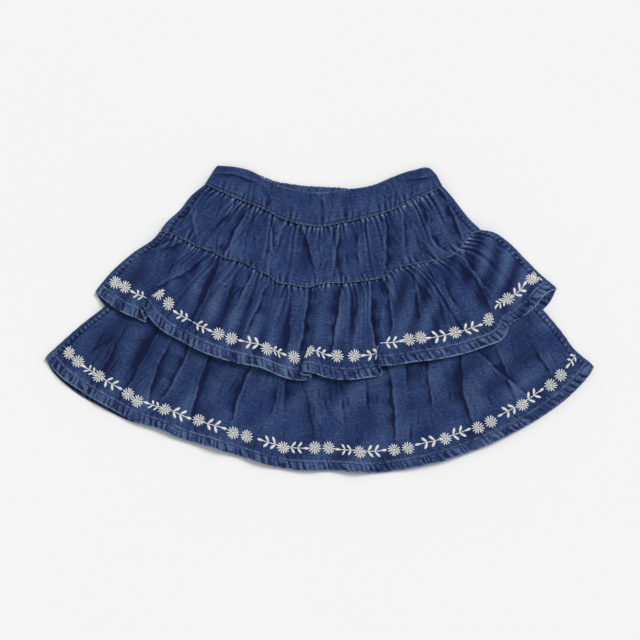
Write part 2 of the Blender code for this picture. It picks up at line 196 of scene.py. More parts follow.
UPPER_LEFT = ((-166, 92), (-172, 85), (-195, 69), (-217, 50), (-235, 28))
UPPER_RIGHT = ((168, 93), (183, 90), (198, 80), (215, 63), (233, 45), (249, 32))
LOWER_LEFT = ((-166, 92), (-178, 71), (-199, 40), (-222, 15), (-249, -6), (-288, -41))
LOWER_RIGHT = (
    (168, 93), (191, 61), (211, 34), (233, 10), (256, -17), (265, -30), (288, -50),
)

# the hems: x, y and, at the front, height off what they lie on. The upper front hem turns
# back on itself three times, right over left.
UPPER_HEM_FRONT = (
    (-235, 28, 0.3), (-222, 18, 1.5), (-203, 6, 3.5), (-191, 1, 1.0), (-184, -2.5, 0.0),
    (-181.5, -3, 1.2), (-183, 1, 2.0), (-185, 6, 2.8), (-187, 12, 3.6), (-187.5, 14, 4.4),
    (-185, 13.5, 5.4), (-178, 3, 5.6), (-165, -11, 3.8), (-146, -22, 1.5), (-120, -35, 4.2),
    (-89, -45, 3.2), (-60, -51, 4.4), (-36, -61, 2.2), (-21, -64, 0.4), (-11, -63, 0.0),
    (-7.5, -61, 1.5), (-11.5, -59.2, 2.9), (-16.5, -58.4, 3.6), (-20.5, -56.6, 4.6),
    (-15.5, -54.6, 6.4), (-7, -56, 6.2), (6, -60.5, 3.8), (32, -63, 4.6),
    (50, -61, 1.2), (61.5, -59.3, 0.0), (65.5, -57, 1.5), (64, -53, 3.4), (61.5, -49.4, 5.2),
    (66, -48.2, 6.2), (74, -48, 5.8), (95, -45, 3.4), (121, -42, 4.6),
    (150, -36, 2.6), (174, -28, 5.0), (190, -21, 6.0), (195, -14, 4.2), (197, -7, 2.6),
    (211, 2, 3.4), (226, 14, 4.6), (233, 23, 4.0), (242, 29, 2.0), (249, 32, 0.4),
)
UPPER_HEM_BACK = (
    (-235, 28), (-227, 16), (-218, 9), (-183, -7), (-125, -31), (-60, -50), (1, -57),
    (64, -51), (127, -39), (184, -20), (221, 0), (242, 18), (249, 32),
)
LOWER_HEM_FRONT = (
    (-288, -41, 0.3), (-275, -57, 2.6), (-251, -75, 1.2), (-222, -92, 3.2), (-193, -108, 1.2),
    (-167, -116, 3.6), (-144, -126, 1.4), (-115, -134, 4.2), (-92, -141, 2.0),
    (-66, -149, 4.4), (-36, -157, 1.6), (-12, -158.5, 3.4), (8, -159, 1.6), (34, -160, 4.2),
    (58, -161, 2.2), (85, -158, 1.2), (106, -154, 3.8), (132, -148, 4.4), (165, -137, 1.4),
    (188, -127, 3.6), (215, -113, 4.6), (241, -97, 2.0), (270, -73, 3.4), (284, -57, 1.6),
    (288, -50, 0.4),
)
LOWER_HEM_BACK = (
    (-288, -41), (-281, -54), (-260, -74), (-230, -92), (-199, -107), (-167, -115),
    (-115, -132), (-52, -150), (11, -156), (85, -155), (158, -137), (232, -102),
    (274, -69), (288, -50),
)

# creases, given one by one: start x, y, end x, y, bow to the left, half width, depth (a ridge is below zero)
BAND_FRONT_CREASES = (
    (-113, 152, -66, 142, 3, 2.6, 1.5),
    (121, 150, 94, 147, 2, 2.4, 1.3),
    (2, 132, 3, 112, 0, 2.4, 0.9),
    (-20, 118, 40, 116, -3, 9.0, -0.8),
    (-60, 141, -52, 121, 1, 3.0, 0.7),
    (62, 138, 58, 116, -1, 3.2, 0.6),
)
YOKE_FRONT_CREASES = (
    (-73, 121, -102, 64, -2, 5.0, 3.6),
    (-88, 124, -107, 99, 3, 3.6, 2.2),
    (-20, 96, -7, 54, 1, 5.4, 3.4),
    (-51, 104, -48, 73, 1, 3.2, 1.8),
    (-36, 102, -46, 75, -1, 3.2, -1.4),
    (22, 98, 15, 46, 1, 3.2, 1.9),
    (47, 102, 49, 88, 0, 3.0, 1.4),
    (70, 106, 69, 46, 2, 3.6, 2.6),
    (106, 122, 112, 102, 1, 3.6, 1.8),
    (118, 92, 133, 71, -3, 3.6, 2.0),
    (127, 134, 149, 78, 2, 4.0, 3.0),
    (-136, 116, -128, 84, 1, 5.0, -1.2),
    (-127, 132, -148, 100, 1, 3.0, 1.2),
    (90, 116, 92, 70, -1, 3.4, 1.2),
    (36, 96, 40, 52, 1, 3.0, 1.1),
)
UPPER_FRONT_CREASES = (
    (-104, 64, -136, -6, 1, 6.2, 4.2),
    (-113, 71, -170, 33, 4, 4.0, 2.6),
    (-151, 85, -173, 76, 0, 3.0, 1.6),
    (-142, 80, -167, 73, 1, 3.0, 1.4),
    (-70, 52, -88, 15, 0, 3.2, 1.8),
    (-56, 31, -75, -11, 1, 4.0, 2.4),
    (-31, 22, -34, -32, 0, 7.0, 2.8),
    (-10, 33, -20, -36, 1, 4.0, 3.6),
    (22, 36, 12, -32, 0, 3.6, 3.0),
    (55, 36, 62, -36, -3, 3.6, 3.0),
    (67, 41, 74, -11, 2, 3.6, 2.6),
    (72, 43, 78, 20, 0, 3.2, -1.2),
    (138, 66, 179, 1, 7, 7.8, 5.6),
    (151, 73, 174, 36, -2, 4.0, 2.2),
    (106, 36, 118, 18, 0, 3.6, 1.5),
    (132, 36, 142, 15, 0, 3.6, 1.6),
    (193, 83, 218, 54, 0, 3.2, 1.6),
    (-195, 66, -209, 50, 0, 3.6, 1.4),
    (38, 34, 36, -14, 1, 3.4, 1.3),
    (-88, 48, -100, 8, 1, 3.2, 1.2),
    (98, 52, 104, 2, -1, 3.6, 1.3),
)
LOWER_FRONT_CREASES = (
    (-170, -12, -198, -64, -1, 6.4, 3.8),
    (-157, -27, -178, -85, -3, 6.8, 4.2),
    (-138, -30, -164, -80, 1, 4.4, 2.4),
    (-115, -38, -136, -111, -1, 7.2, 5.4),
    (-71, -48, -92, -104, -3, 4.8, 3.2),
    (-34, -64, -37, -90, 0, 4.8, 2.0),
    (-17, -66, -6, -127, 1, 8.0, 3.2),
    (49, -69, 51, -90, 0, 4.0, 1.6),
    (72, -53, 79, -122, 1, 4.8, 3.4),
    (90, -45, 93, -69, 0, 4.8, 1.6),
    (148, -40, 161, -111, -5, 5.2, 3.4),
    (166, -32, 221, -80, -1, 4.8, 2.0),
    (226, -32, 240, -55, 0, 4.8, 1.6),
    (-247, -6, -262, -22, 1, 3.6, 1.2),
    (-44, -66, -52, -100, 1, 3.0, 1.2),
    (22, -68, 26, -112, 1, 4.4, 1.2),
    (112, -44, 118, -96, -1, 4.2, 1.6),
    (-212, -24, -232, -62, 1, 7.4, 3.0),
    (184, -30, 206, -92, 1, 4.4, 1.6),
)
YOKE_BACK_CREASES = (
    (-84, 118, -112, 78, 1, 5.0, -2.0),
    (-24, 96, -30, 50, 1, 5.0, -1.8),
    (38, 100, 34, 56, -1, 5.0, -2.0),
    (98, 118, 120, 80, 1, 5.0, -1.8),
)
UPPER_BACK_CREASES = (
    (-140, 76, -186, 24, 2, 6.0, -2.0),
    (-88, 56, -112, -10, 1, 6.0, -2.2),
    (-20, 32, -30, -40, 1, 6.0, -1.8),
    (48, 38, 54, -36, -1, 6.0, -2.2),
    (118, 58, 148, 0, 2, 6.0, -2.0),
    (168, 84, 206, 36, 2, 6.0, -1.6),
)
LOWER_BACK_CREASES = (
    (-196, -20, -226, -78, 1, 7.0, -2.4),
    (-140, -36, -160, -100, -1, 7.0, -2.2),
    (-84, -60, -98, -126, 1, 7.0, -2.6),
    (-6, -64, -10, -140, 0, 7.0, -2.2),
    (66, -60, 76, -136, 1, 7.0, -2.4),
    (124, -48, 150, -116, -1, 7.0, -2.6),
    (196, -24, 232, -80, 2, 7.0, -2.2),
)

# the embroidered borders: where the daisies lie, x, y
LOWER_DAISIES = (
    (-263.7, -35.4), (-254.1, -44.3), (-231.5, -59.9), (-201.8, -78.8), (-191.4, -86.5),
    (-162.9, -94.7), (-126.7, -105.9), (-90.5, -119.4), (-76.1, -122.9), (-38.3, -134.9),
    (-4.7, -134.7), (9.6, -135.1), (41.5, -139.4), (77.8, -137.3), (92.8, -135.1),
    (131.4, -125.3), (165.9, -114.1), (179.8, -107.7), (212.6, -90), (243.5, -69.8),
    (254, -59),
)
UPPER_DAISIES = (
    (-214.4, 38.1), (-203.6, 33.7), (-166.6, 26.5), (-156.6, 16.7), (-105.9, -15.4),
    (-92.5, -20.3), (-55.1, -30.8), (-26.5, -39.6), (-10.4, -34.2), (18.9, -38.3),
    (35.4, -38.3), (93.9, -21.1), (105.9, -19.2), (141.5, -13.9), (176.4, -0.4),
    (196.9, 21.7), (221.4, 41.2), (229.2, 45.2),
)
# and their sprigs: x, y of the bud, and the way along the border from there to the root
LOWER_SPRIGS = (
    (-247.3, -49.1, 19), (-209.5, -72, -25), (-182.6, -89.2, 20), (-137.8, -103.9, -27),
    (-100.3, -116, -28), (-62.5, -126.4, 26), (-14.2, -135.2, -24), (19.4, -136.8, 22),
    (67.7, -138.3, -26), (102.9, -132.6, 29), (155.9, -117.3, -26), (190.1, -102.6, 26),
    (234.2, -75.9, -26), (262, -50.1, 20),
)
UPPER_SPRIGS = (
    (-194.8, 28.8, 18), (-149, 9.9, 21), (-115.2, -11.3, -22), (-82.7, -22.8, 29),
    (-38.3, -37.3, -18), (10, -37, -21), (45.9, -37.1, 24), (84.5, -23.4, -24),
    (113.4, -18.4, 28), (165.9, -3.9, -26), (184.3, 13.9, 15), (216.8, 36, -25),
)
BORDER_REPEAT = 92.2        # the same border by its repeat, on the back
PAIR_AT = (38.6, 53.6)      # the pair's two daisies, from the single one
BUD_AT = 27.0               # a sprig's bud, from the single daisy
BORDER_STARTS = 30.0        # the back border's first daisy, from the side seam
BORDER_STOPS = 1.5          # how near to its ends a border's stitches may come
MOST_OVER = 3.0             # how far over or under its border's line a daisy may lie
BORDER_SCALE_AT = 0.8       # share down a panel from which heights over its hem are taken

# how deep each panel is, down its middle
BACK_BAND_DEPTH = 36.0
FRONT_BAND_DEPTH = 35.0
BACK_YOKE_DEPTH = 67.0
FRONT_YOKE_DEPTH = 66.0
BACK_RUFFLE_DEPTH = 93.0
FRONT_RUFFLE_DEPTH = 98.0
LOWER_TIER_DEPTH = 186.0

# each sheet's flat size in metres, along its seam and down, and how it is held
SHEETS = {
    "waistband_back": ((0.34, 0.035), "gathered"),
    "yoke_back": ((0.34, 0.065), "gathered"),
    "upper_ruffle_back": ((0.53, 0.105), "gathered"),
    "lower_tier_back": ((0.64, 0.20), "gathered"),
    "lower_tier_front": ((0.64, 0.20), "gathered"),
    "upper_ruffle_front": ((0.60, 0.11), "gathered"),
    "yoke_front": ((0.34, 0.065), "gathered"),
    "waistband_front": ((0.265, 0.035), "laid"),
}

# the panels' grids: columns of points, and millimetres from row to row
BACK_BAND_GRID = (481, 2.4)
FRONT_BAND_GRID = (241, 1.15)
BACK_YOKE_GRID = (231, 1.9)
FRONT_YOKE_GRID = (291, 1.3)
# and the tiers': millimetres along the hem, and down
BACK_TIER_GRID = (2.1, 2.0)
FRONT_TIER_GRID = (1.45, 1.3)

# rows of topstitching, by their height over the seam, or below the hem's turned edge
BAND_STITCHES = (1.4, 3.6)
YOKE_STITCHES = (1.8,)
HEM_STITCH = 0.7

# how the panels are laid
LAYER_GAP = 0.35            # between one panel and the next
SEAM_TUCK = 1.6             # how far a panel's top edge goes under the seam above it
SIDE_FADE = 0.07            # share of the width over which a panel swells up from its side
HEM_EVENING = 0.04          # share of the hem over which its line is evened higher up
EVENING_STEPS = (-1.0, -0.75, -0.5, -0.25, 0.0, 0.25, 0.5, 0.75, 1.0)
FOLD_OPENS = (0.55, 1.0)    # shares down, where the hem's folds begin and are whole
HEM_RULES = (0.2, 0.6)      # shares down, where the hem's heights set in and rule
CREASES_END = (0.8, 1.0)    # shares down, where the creases weaken and end
BACK_LIFT = 0.6             # how far the back panels lie off what is below them
EDGE_ROWS = (0.0, 0.22, 0.5, 0.85)  # how far in from an edge its rows of points lie
LEAST_ROW = 0.2             # rows of points nearer to the one before are left out
HIDDEN_STEP = 6.0           # from row to row where other cloth hides a panel
EDGE_ROUND = 0.8            # how far from an edge its turned cloth rounds off
EDGE_LEAST = 0.3            # share of its thickness that is left at the very edge
THREAD_CLEAR = 0.35         # room for the topstitching under the back panels
BORDER_CLEAR = 0.55         # and for the embroidered border
BORDER_ROOM = 9.0           # half height of that room along the border
BED_SOFTNESS = 0.12         # how gently a panel's dips are stopped by what is below it
BED_SINK = 0.17             # and how far the panel sinks to make up for that

# the height map on which panels are laid
MAP_CELL = 1.5
MAP_X = 320.0               # half its width
MAP_Y = 200.0               # half its depth
MAP_SHARES = (0.0, 0.2, 0.4, 0.6, 0.8)  # of the way from one row of points to the next
BED_REACH = 4               # cells over which it is evened, each way

# creases and gathers
WALL = 1.35                 # half width of the short wall along a crease
SWAYS = ((0.5, 31), (0.18, 11))     # how far a crease's line wanders, and its wavelengths
SOFT_WIDTH = 9.5            # half width at which a crease would have no pleat left
SOFT_RANGE = 5.5            # it is all pleat when it is this much narrower
LEAST_SHARP = 0.2           # least share of its pleat that a crease keeps
DENT_WANDER = 0.28          # how far small dents turn off the cloth's hang, in radians
DENT_HALF_WIDTH = 1.25
DENT_HALF_LENGTHS = (4.0, 15.0)
BUNCH_PITCH = 33.0          # from one bunch of deep gathers to the next
FELL_WIDTH = 6.5            # from a side seam to the stitches of its fell
PUCKER_PITCH = 5.5          # from pucker to pucker down a felled seam
RIPPLE_PITCH = 7.4          # from ripple to ripple along a turned hem
BAND_RIBS = 64              # ruches of the elastic back band
RIB_HEIGHT = 1.9
RIB_SCALLOP = 0.55          # share of their height by which they scallop its top edge
RIB_SCALLOP_REACH = 5.0     # how far down the band that goes
# shares of the width over which creases and gathers die away at a panel's sides
BAND_END = 0.02
YOKE_END = 0.015
TIER_END = 0.008

# how the cloth is pulled into fine wrinkles: evenly on the back band, or how far from a seam
BAND_PULL = 0.2
BAND_PULL_REACH = 9.0
YOKE_PULL = 24.0
TIER_PULL = 30.0

# the rolled seams at the sides
WELT_AROUND = 12
WELT_RINGS = 60
WELT_HALF_WIDTH = 1.15
WELT_WAVER = 0.12           # how much wider and narrower they get
WELT_WAVES = 17             # and how many times on their way
WELT_PROUD = 0.12           # how far they stand over the front and under the back
WELT_FACET = 0.6            # width of one of their facets on the map of the cloth
WELT_WEAR = 0.2

# the cloth's colour, and its painted shade. Broad places darkened as painted shade, where the skirt lies in shade: x,
# y, half width, half height, and how much
PAINTED_SHADE_PLACES = (
    (-202, -36, 60, 42, 0.46), (122, 28, 52, 34, 0.38), (176, -56, 62, 36, 0.2),
    (-146, 42, 50, 36, 0.16),
)
# fold sets the colour: creases and hollows are darkened as painted shade, ridges lightened as wear and partly as
# painted highlight
FOLD_BLUR = (1, 8)          # grid steps over which heights are evened, narrow and broad
FOLD_SCALE = (0.34, 1.6)    # height over the evened one that counts as a full fold
INSIDE_WEAR_AND_SHADE = 0.15          # share of the wear that the back panels' inner side shows, kept low so that it stays dark as painted shade
INSIDE_PAINTED_SHADE = 0.6          # how much darker the inside of the back tiers is made, as painted shade

LAID = {}                   # the panels laid so far, for the operators that follow


class Cloth:
    """A laid panel: its grid of points on both sides in millimetres, from the top edge down
    and from left to right, with the share across and down, and the distance down."""

    def __init__(self, name, across, down, under, outer):
        self.name = name
        self.across = across
        self.down = down
        self.under = under
        self.outer = outer
        middle = (under + outer) / 2
        steps = np.linalg.norm(np.diff(middle[:, :, :2], axis=0), axis=2)
        self.distance = np.concatenate((np.zeros((1, len(across))), np.cumsum(steps, axis=0)))
        thick = outer - under
        self.normal = thick / np.linalg.norm(thick, axis=2, keepdims=True)

    def on_surface(self, s, t, above, face):
        """Point at share s across and t down, a height above the cloth's outer face (face 1)
        or its inner one (face -1), blended from the four grid points around."""
        i = np.interp(t, self.down, np.arange(len(self.down)))
        j = np.interp(s, self.across, np.arange(len(self.across)))
        i0 = np.minimum(i.astype(int), len(self.down) - 2)
        j0 = np.minimum(j.astype(int), len(self.across) - 2)
        v = (i - i0)[..., None]
        u = (j - j0)[..., None]
        side = self.outer if face > 0 else self.under

        def blend(grid):
            return (
                (1 - v) * ((1 - u) * grid[i0, j0] + u * grid[i0, j0 + 1])
                + v * ((1 - u) * grid[i0 + 1, j0] + u * grid[i0 + 1, j0 + 1])
            )

        return blend(side) + blend(self.normal) * face * np.asarray(above)[..., None]


def curve(rows):
    """Return a function from 0..1, by length seen from above, to points on the cubic curve
    through all rows that leaves each row along the line between its neighbours."""
    knots = np.array(rows, dtype=float)
    steps = np.hypot(*np.diff(knots[:, :2], axis=0).T)
    at = np.concatenate(([0.0], np.cumsum(steps)))
    slopes = np.gradient(knots, at, axis=0)

    def points(share):
        where = np.asarray(share, dtype=float) * at[-1]
        left = np.clip(np.searchsorted(at, where, side="right") - 1, 0, len(at) - 2)
        span = (at[left + 1] - at[left])[:, None]
        u = (where[:, None] - at[left][:, None]) / span
        return (
            (2 * u**3 - 3 * u**2 + 1) * knots[left]
            + (u**3 - 2 * u**2 + u) * span * slopes[left]
            + (3 * u**2 - 2 * u**3) * knots[left + 1]
            + (u**3 - u**2) * span * slopes[left + 1]
        )

    return points


def row_length(rows):
    """Length of a line of points seen from above."""
    return np.hypot(*np.diff(np.array(rows, dtype=float)[:, :2], axis=0).T).sum()


def hem_columns(rows, step):
    """Places along a hem from 0 to 1: every row of its table, and even steps between."""
    lengths = np.hypot(*np.diff(np.array(rows)[:, :2], axis=0).T)
    ends = np.concatenate(([0.0], np.cumsum(lengths))) / lengths.sum()
    parts = np.ceil(lengths / step).astype(int)
    runs = [np.linspace(a, b, n, endpoint=False) for a, b, n in zip(ends, ends[1:], parts)]
    return np.concatenate(runs + [[1.0]])


def down_rows(length, step, hidden=0.0, turned=None):
    """Places down a panel from 0 to 1: coarse over its hidden top, even below, and closer
    where its edges round off and where its turned hem begins."""
    edge = np.array(EDGE_ROWS) / length
    marks = [edge, 1 - edge, np.linspace(0, hidden, int(hidden * length / HIDDEN_STEP) + 2),
             np.linspace(hidden, 1, int((1 - hidden) * length / step) + 2)]
    if turned is not None:
        marks.append(np.array((turned - 0.4 / length, turned + 0.4 / length)))
    rows = np.unique(np.concatenate(marks))
    apart = np.diff(rows, prepend=-1.0) * length > LEAST_ROW
    apart[-1] = True
    rows = rows[apart]
    rows[-1] = 1.0
    return rows


def ease(value, low, high):
    """Rise smoothly from 0 at low to 1 at high: 3 u squared less 2 u cubed."""
    u = np.clip((value - low) / (high - low), 0.0, 1.0)
    return u * u * (3 - 2 * u)


def patch(top, hem, left, right, across, down):
    """Fill in the plan between four edge curves: the blend from top to hem plus the blend
    from side to side, less the blend of the corners. The hem's folds open at the end."""
    top_line = curve(top)(across)[None, :, :2]
    true_hem = curve(hem)(across)[None, :, :2]
    reach = np.minimum(np.minimum(across, 1 - across), HEM_EVENING)
    even_hem = sum(curve(hem)(across + reach * step) for step in EVENING_STEPS)
    even_hem = even_hem[None, :, :2] / len(EVENING_STEPS)
    opened = ease(down, *FOLD_OPENS)[:, None, None]
    hem_line = even_hem + (true_hem - even_hem) * opened
    left_line = curve(left)(down)[:, None, :2]
    right_line = curve(right)(down)[:, None, :2]
    s = across[None, :, None]
    t = down[:, None, None]
    corners = (
        (1 - t) * ((1 - s) * top_line[:, :1] + s * top_line[:, -1:])
        + t * ((1 - s) * true_hem[:, :1] + s * true_hem[:, -1:])
    )
    return (1 - t) * top_line + t * hem_line + (1 - s) * left_line + s * right_line - corners


def tuck(plan):
    """Carry a plan's top row on by the seam tuck, square to the seam."""
    along = np.gradient(plan[0], axis=0)
    square = np.stack((-along[:, 1], along[:, 0]), axis=1)
    square *= np.sign(np.sum(square * (plan[0] - plan[3])))
    plan[0] += square / np.linalg.norm(square, axis=1, keepdims=True) * SEAM_TUCK


def even_grid(length, grid):
    """Columns and rows of a panel without a turned hem, from the number of its columns and
    the step of its rows."""
    columns, step = grid
    return np.linspace(0.0, 1.0, columns), down_rows(length, step)


def band_plan(top, across, down):
    """Plan of a waistband, from its top edge to the waist seam."""
    left, right = ((top[end], WAIST_SEAM[end]) for end in (0, -1))
    return patch(top, WAIST_SEAM, left, right, across, down)


def yoke_plan(across, down):
    """Plan of a yoke, tucked in under the waist seam."""
    plan = patch(WAIST_SEAM, YOKE_SEAM, YOKE_LEFT, YOKE_RIGHT, across, down)
    tuck(plan)
    return plan


def tier_grid(edge, left, right, grid, length, hidden, hem):
    """Columns, rows and plan of a gathered tier, tucked in under the yoke's seam, and the
    place down it where its hem is turned."""
    along_step, down_step = grid
    turned = 1 - hem / length
    across = hem_columns(edge, along_step)
    down = down_rows(length, down_step, hidden, turned)
    plan = patch(YOKE_SEAM, edge, left, right, across, down)
    tuck(plan)
    return across, down, plan, turned


def below_top(down, length, across):
    """How far each point of a panel is from its top edge, down the cloth."""
    return down[:, None] * length + np.zeros(len(across))


def side_fade(across, share=SIDE_FADE):
    """One over the middle of a panel, dying away to nothing at its two side seams, each
    time over a share of its width."""
    return ease(across, 0.0, share) * ease(1 - across, 0.0, share)


def crease_height(plan, rows):
    """Add up the creases. Each is a low broad bell across its bowed line, with a pleat that
    drops by a short wall on one side and rises slowly, as exp(-d/(1.2 w)), on the other, and
    a narrow lip beside the wall. The wider the crease, the softer it is: the bell grows and
    the pleat and lip shrink. The line is a parabola that wanders as two sines, and the crease
    fades as a sine towards its two ends."""
    rng = np.random.default_rng(len(rows))
    total = np.zeros(plan.shape[:2])
    along = np.linspace(0.0, 1.0, 97)
    for number, (x0, y0, x1, y1, bow, half_width, depth) in enumerate(rows):
        start = np.array((x0, y0), dtype=float)
        run = np.array((x1, y1), dtype=float) - start
        side = np.array((-run[1], run[0])) / np.linalg.norm(run)
        turns = 2 * np.pi * along * np.linalg.norm(run)
        start_of = rng.uniform(0, 2 * np.pi, 3)
        sway = sum(size * np.sin(turns / wave + begin)
                   for (size, wave), begin in zip(SWAYS, start_of))
        sway += 4 * bow * along * (1 - along)
        line = start + run * along[:, None] + side * sway[:, None]
        reach = 4.0 * half_width + 4.0
        near = np.all((plan > line.min(axis=0) - reach) & (plan < line.max(axis=0) + reach),
                      axis=2)
        apart = np.linalg.norm(plan[near][:, None, :] - line, axis=2)
        nearest = apart.argmin(axis=1)
        steep = 1 if number % 2 else -1
        off = apart.min(axis=1)
        off *= np.sign(np.sum((plan[near] - line[nearest]) * side, axis=1)) * steep
        strength = 0.25 + 0.75 * np.sin(np.pi * (0.08 + 0.84 * along))
        sharp = np.clip((SOFT_WIDTH - half_width) / SOFT_RANGE, LEAST_SHARP, 1.0)
        strength *= 1 + 0.3 * sharp**3 * np.sin(turns / 19 + start_of[2])
        strength = strength[nearest]
        bell = np.exp(-((off / half_width / np.where(off < 0, 0.7, 1.9)) ** 2))
        wall = np.exp(-((off / WALL) ** 2))
        pleat = np.where(off > 0, np.exp(-np.abs(off) / (1.2 * half_width)), wall)
        lip = np.exp(-(((off + 2.0 * WALL) / (1.1 * WALL)) ** 2))
        profile = (0.65 - 0.35 * sharp) * bell + sharp * (0.5 * pleat - 0.16 * lip)
        total[near] -= depth * strength * profile
    return total


def slow_waves(plan, seed, size, depth):
    """Low uneven swells: a third of the sum of nine plane sine waves of about one size."""
    rng = np.random.default_rng(seed)
    total = np.zeros(plan.shape[:2])
    for _ in range(9):
        turn = rng.uniform(0, np.pi)
        wave = 2 * np.pi / (size * rng.uniform(0.6, 1.6))
        along = plan[..., 0] * np.cos(turn) + 0.6 * plan[..., 1] * np.sin(turn)
        total += np.sin(wave * along + rng.uniform(0, 2 * np.pi))
    return depth * total / 3


def small_creases(plan, seed, count, depth):
    """Scattered small dents: a bell across a short straight line, which fades as the power
    1.5 of one less the square of the way to its ends. They keep roughly to the way that the
    cloth hangs, and some are ridges."""
    rng = np.random.default_rng(seed)
    rows, columns = plan.shape[:2]
    total = np.zeros((rows, columns))
    for _ in range(count):
        i = rng.integers(1, rows - 1)
        j = rng.integers(1, columns - 1)
        hang = plan[min(i + 3, rows - 1), j] - plan[max(i - 3, 0), j]
        turn = np.arctan2(hang[1], hang[0]) + rng.normal(0, DENT_WANDER)
        half = rng.uniform(*DENT_HALF_LENGTHS)
        wide = DENT_HALF_WIDTH * rng.uniform(0.7, 1.5)
        deep = depth * rng.uniform(0.3, 1.0) * rng.choice((1.0, 1.0, -0.8))
        apart = plan - plan[i, j]
        along = (apart[..., 0] * np.cos(turn) + apart[..., 1] * np.sin(turn)) / half
        off = (apart[..., 1] * np.cos(turn) - apart[..., 0] * np.sin(turn)) / wide
        total -= deep * np.exp(-off**2) * np.clip(1 - along**2, 0, None) ** 1.5
    return total


def seam_gathers(plan, across, away, seed, pitch, depth, reach):
    """Narrow valleys that run away from a seam, given the distance away from it. Each has
    its own place, lean, width and depth, widens on the way, and dies away as exp(-(d/r)^1.4);
    a ridge half as high stands on each side of it. They are deep in bunches along the seam
    and shallow between."""
    rng = np.random.default_rng(seed)
    nearest = away[:, len(across) // 2].argmin()
    length = row_length(plan[nearest])
    widths = np.hypot(*np.moveaxis(np.diff(plan, axis=1), 2, 0)).sum(axis=1)
    count = int(length / pitch)
    places = (np.arange(count) + 0.5 + rng.uniform(-0.42, 0.42, count)) / count
    turns = 2 * np.pi * places * length / BUNCH_PITCH
    bunches = np.sin(turns + 1.4 * np.sin(23.0 * places) + seed)
    bunches = 0.4 + 0.85 * ease(bunches, -0.7, 0.8)
    total = np.zeros(away.shape)
    for place, bunch in zip(places, bunches):
        lean = rng.normal(0, 0.12)
        wide = rng.uniform(0.8, 1.5)
        far = reach * rng.uniform(0.35, 1.9)
        deep = depth * bunch * (0.25 + 1.35 * rng.uniform() ** 1.7)
        off = (across[None, :] - place) * widths[:, None] - lean * away
        off = off / (wide * (1 + 0.5 * away / reach))
        fade = np.exp(-((away / far) ** 1.4))
        total -= deep * fade * (np.exp(-off**2) - 0.5 * np.exp(-((np.abs(off) - 1.9) ** 2)))
    return total


def hem_ripple(across, to_hem, length, depth, seed):
    """Ripples in a turned hem, a squared-off sine along the hem whose pace wanders, with a
    fainter pucker above its stitch line and a groove along that line."""
    rng = np.random.default_rng(seed)
    wander, swell = (
        sum(rng.uniform(0.6, 1.6) * np.sin(2 * np.pi * (n * across + rng.uniform()))
            for n in paces)
        for paces in ((5, 11, 19, 31, 47), (8, 17, 29, 41))
    )
    turns = across[None, :] * length / RIPPLE_PITCH + 0.05 * to_hem
    phase = 2 * np.pi * turns + wander[None, :]
    swell = np.clip(0.75 + 0.22 * swell, 0.15, 1.3)
    band = ease(to_hem, -0.5, 1.5) * (1 - ease(to_hem, depth - 2.0, depth - 0.4))
    pucker = np.exp(-(((to_hem - depth - 2.2) / 2.6) ** 2))
    wave = np.sin(phase + 0.5 * np.sin(phase)) + 0.35 * np.sin(2.3 * phase + 1.0)
    wave = np.tanh(1.7 * wave)
    groove = np.exp(-(((to_hem - depth + HEM_STITCH) / 0.8) ** 2))
    return wave * swell[None, :] * (0.6 * band + 0.24 * pucker) - 0.45 * groove


def felled_sides(plan, across, away, seed):
    """Puckers along a felled side seam, sines of the way down whose pace wanders, and the
    stitched groove that ends them, as far in as the fell is wide."""
    rng = np.random.default_rng(seed)
    widths = np.hypot(*np.moveaxis(np.diff(plan, axis=1), 2, 0)).sum(axis=1)
    in_from = np.minimum(across, 1 - across)[None, :] * widths[:, None]
    phase = 2 * np.pi * away / PUCKER_PITCH + np.where(across < 0.5, 0.0, 2.0)
    phase = phase + 1.5 * np.sin(away / 9.0 + rng.uniform(0, 2 * np.pi))
    puckers = 0.28 * np.sin(phase) * np.exp(-(((in_from - 4.2) / 2.4) ** 2))
    return puckers - 0.45 * np.exp(-((in_from - FELL_WIDTH) ** 2))


def stitch_grooves(over_hem, rows):
    """Narrow bells pressed 0.5 mm deep along rows of topstitching, and twice as deep where
    a row is named twice."""
    return -0.5 * sum(np.exp(-(((over_hem - row) / 0.65) ** 2)) for row in rows)


def map_places(points):
    """Row and column, as fractions, of the height map at each point."""
    return (points[..., 1] + MAP_Y) / MAP_CELL, (points[..., 0] + MAP_X) / MAP_CELL


def height_map(cloths):
    """Highest cloth over each cell of the map, and one cell around it."""
    shape = (int(2 * MAP_Y / MAP_CELL), int(2 * MAP_X / MAP_CELL))
    highest = np.full(shape, -1.0)
    for cloth in cloths:
        for share in MAP_SHARES:
            points = cloth.outer[:-1] * (1 - share) + cloth.outer[1:] * share
            row, column = map_places(points)
            np.maximum.at(highest, (row.astype(int), column.astype(int)), points[..., 2])
    spread = highest.copy()
    for down in (-1, 0, 1):
        for across in (-1, 0, 1):
            shifted = np.roll(np.roll(highest, down, axis=0), across, axis=1)
            spread = np.maximum(spread, shifted)
    return spread


def bed_height(plan, cloths):
    """Smooth height on which a panel lies: the highest cloth within reach, evened over the
    same reach, and blended between the map's cells."""
    bed = np.maximum(height_map(cloths), -LAYER_GAP)
    for join in (np.max, np.mean):
        for axis in (0, 1):
            bed = join([np.roll(bed, step, axis=axis)
                        for step in range(-BED_REACH, BED_REACH + 1)], axis=0)
    row, column = map_places(plan)
    row, column = row - 0.5, column - 0.5
    i, j = row.astype(int), column.astype(int)
    v, u = row - i, column - j
    level = (
        (1 - v) * ((1 - u) * bed[i, j] + u * bed[i, j + 1])
        + v * ((1 - u) * bed[i + 1, j] + u * bed[i + 1, j + 1])
    )
    return level + LAYER_GAP


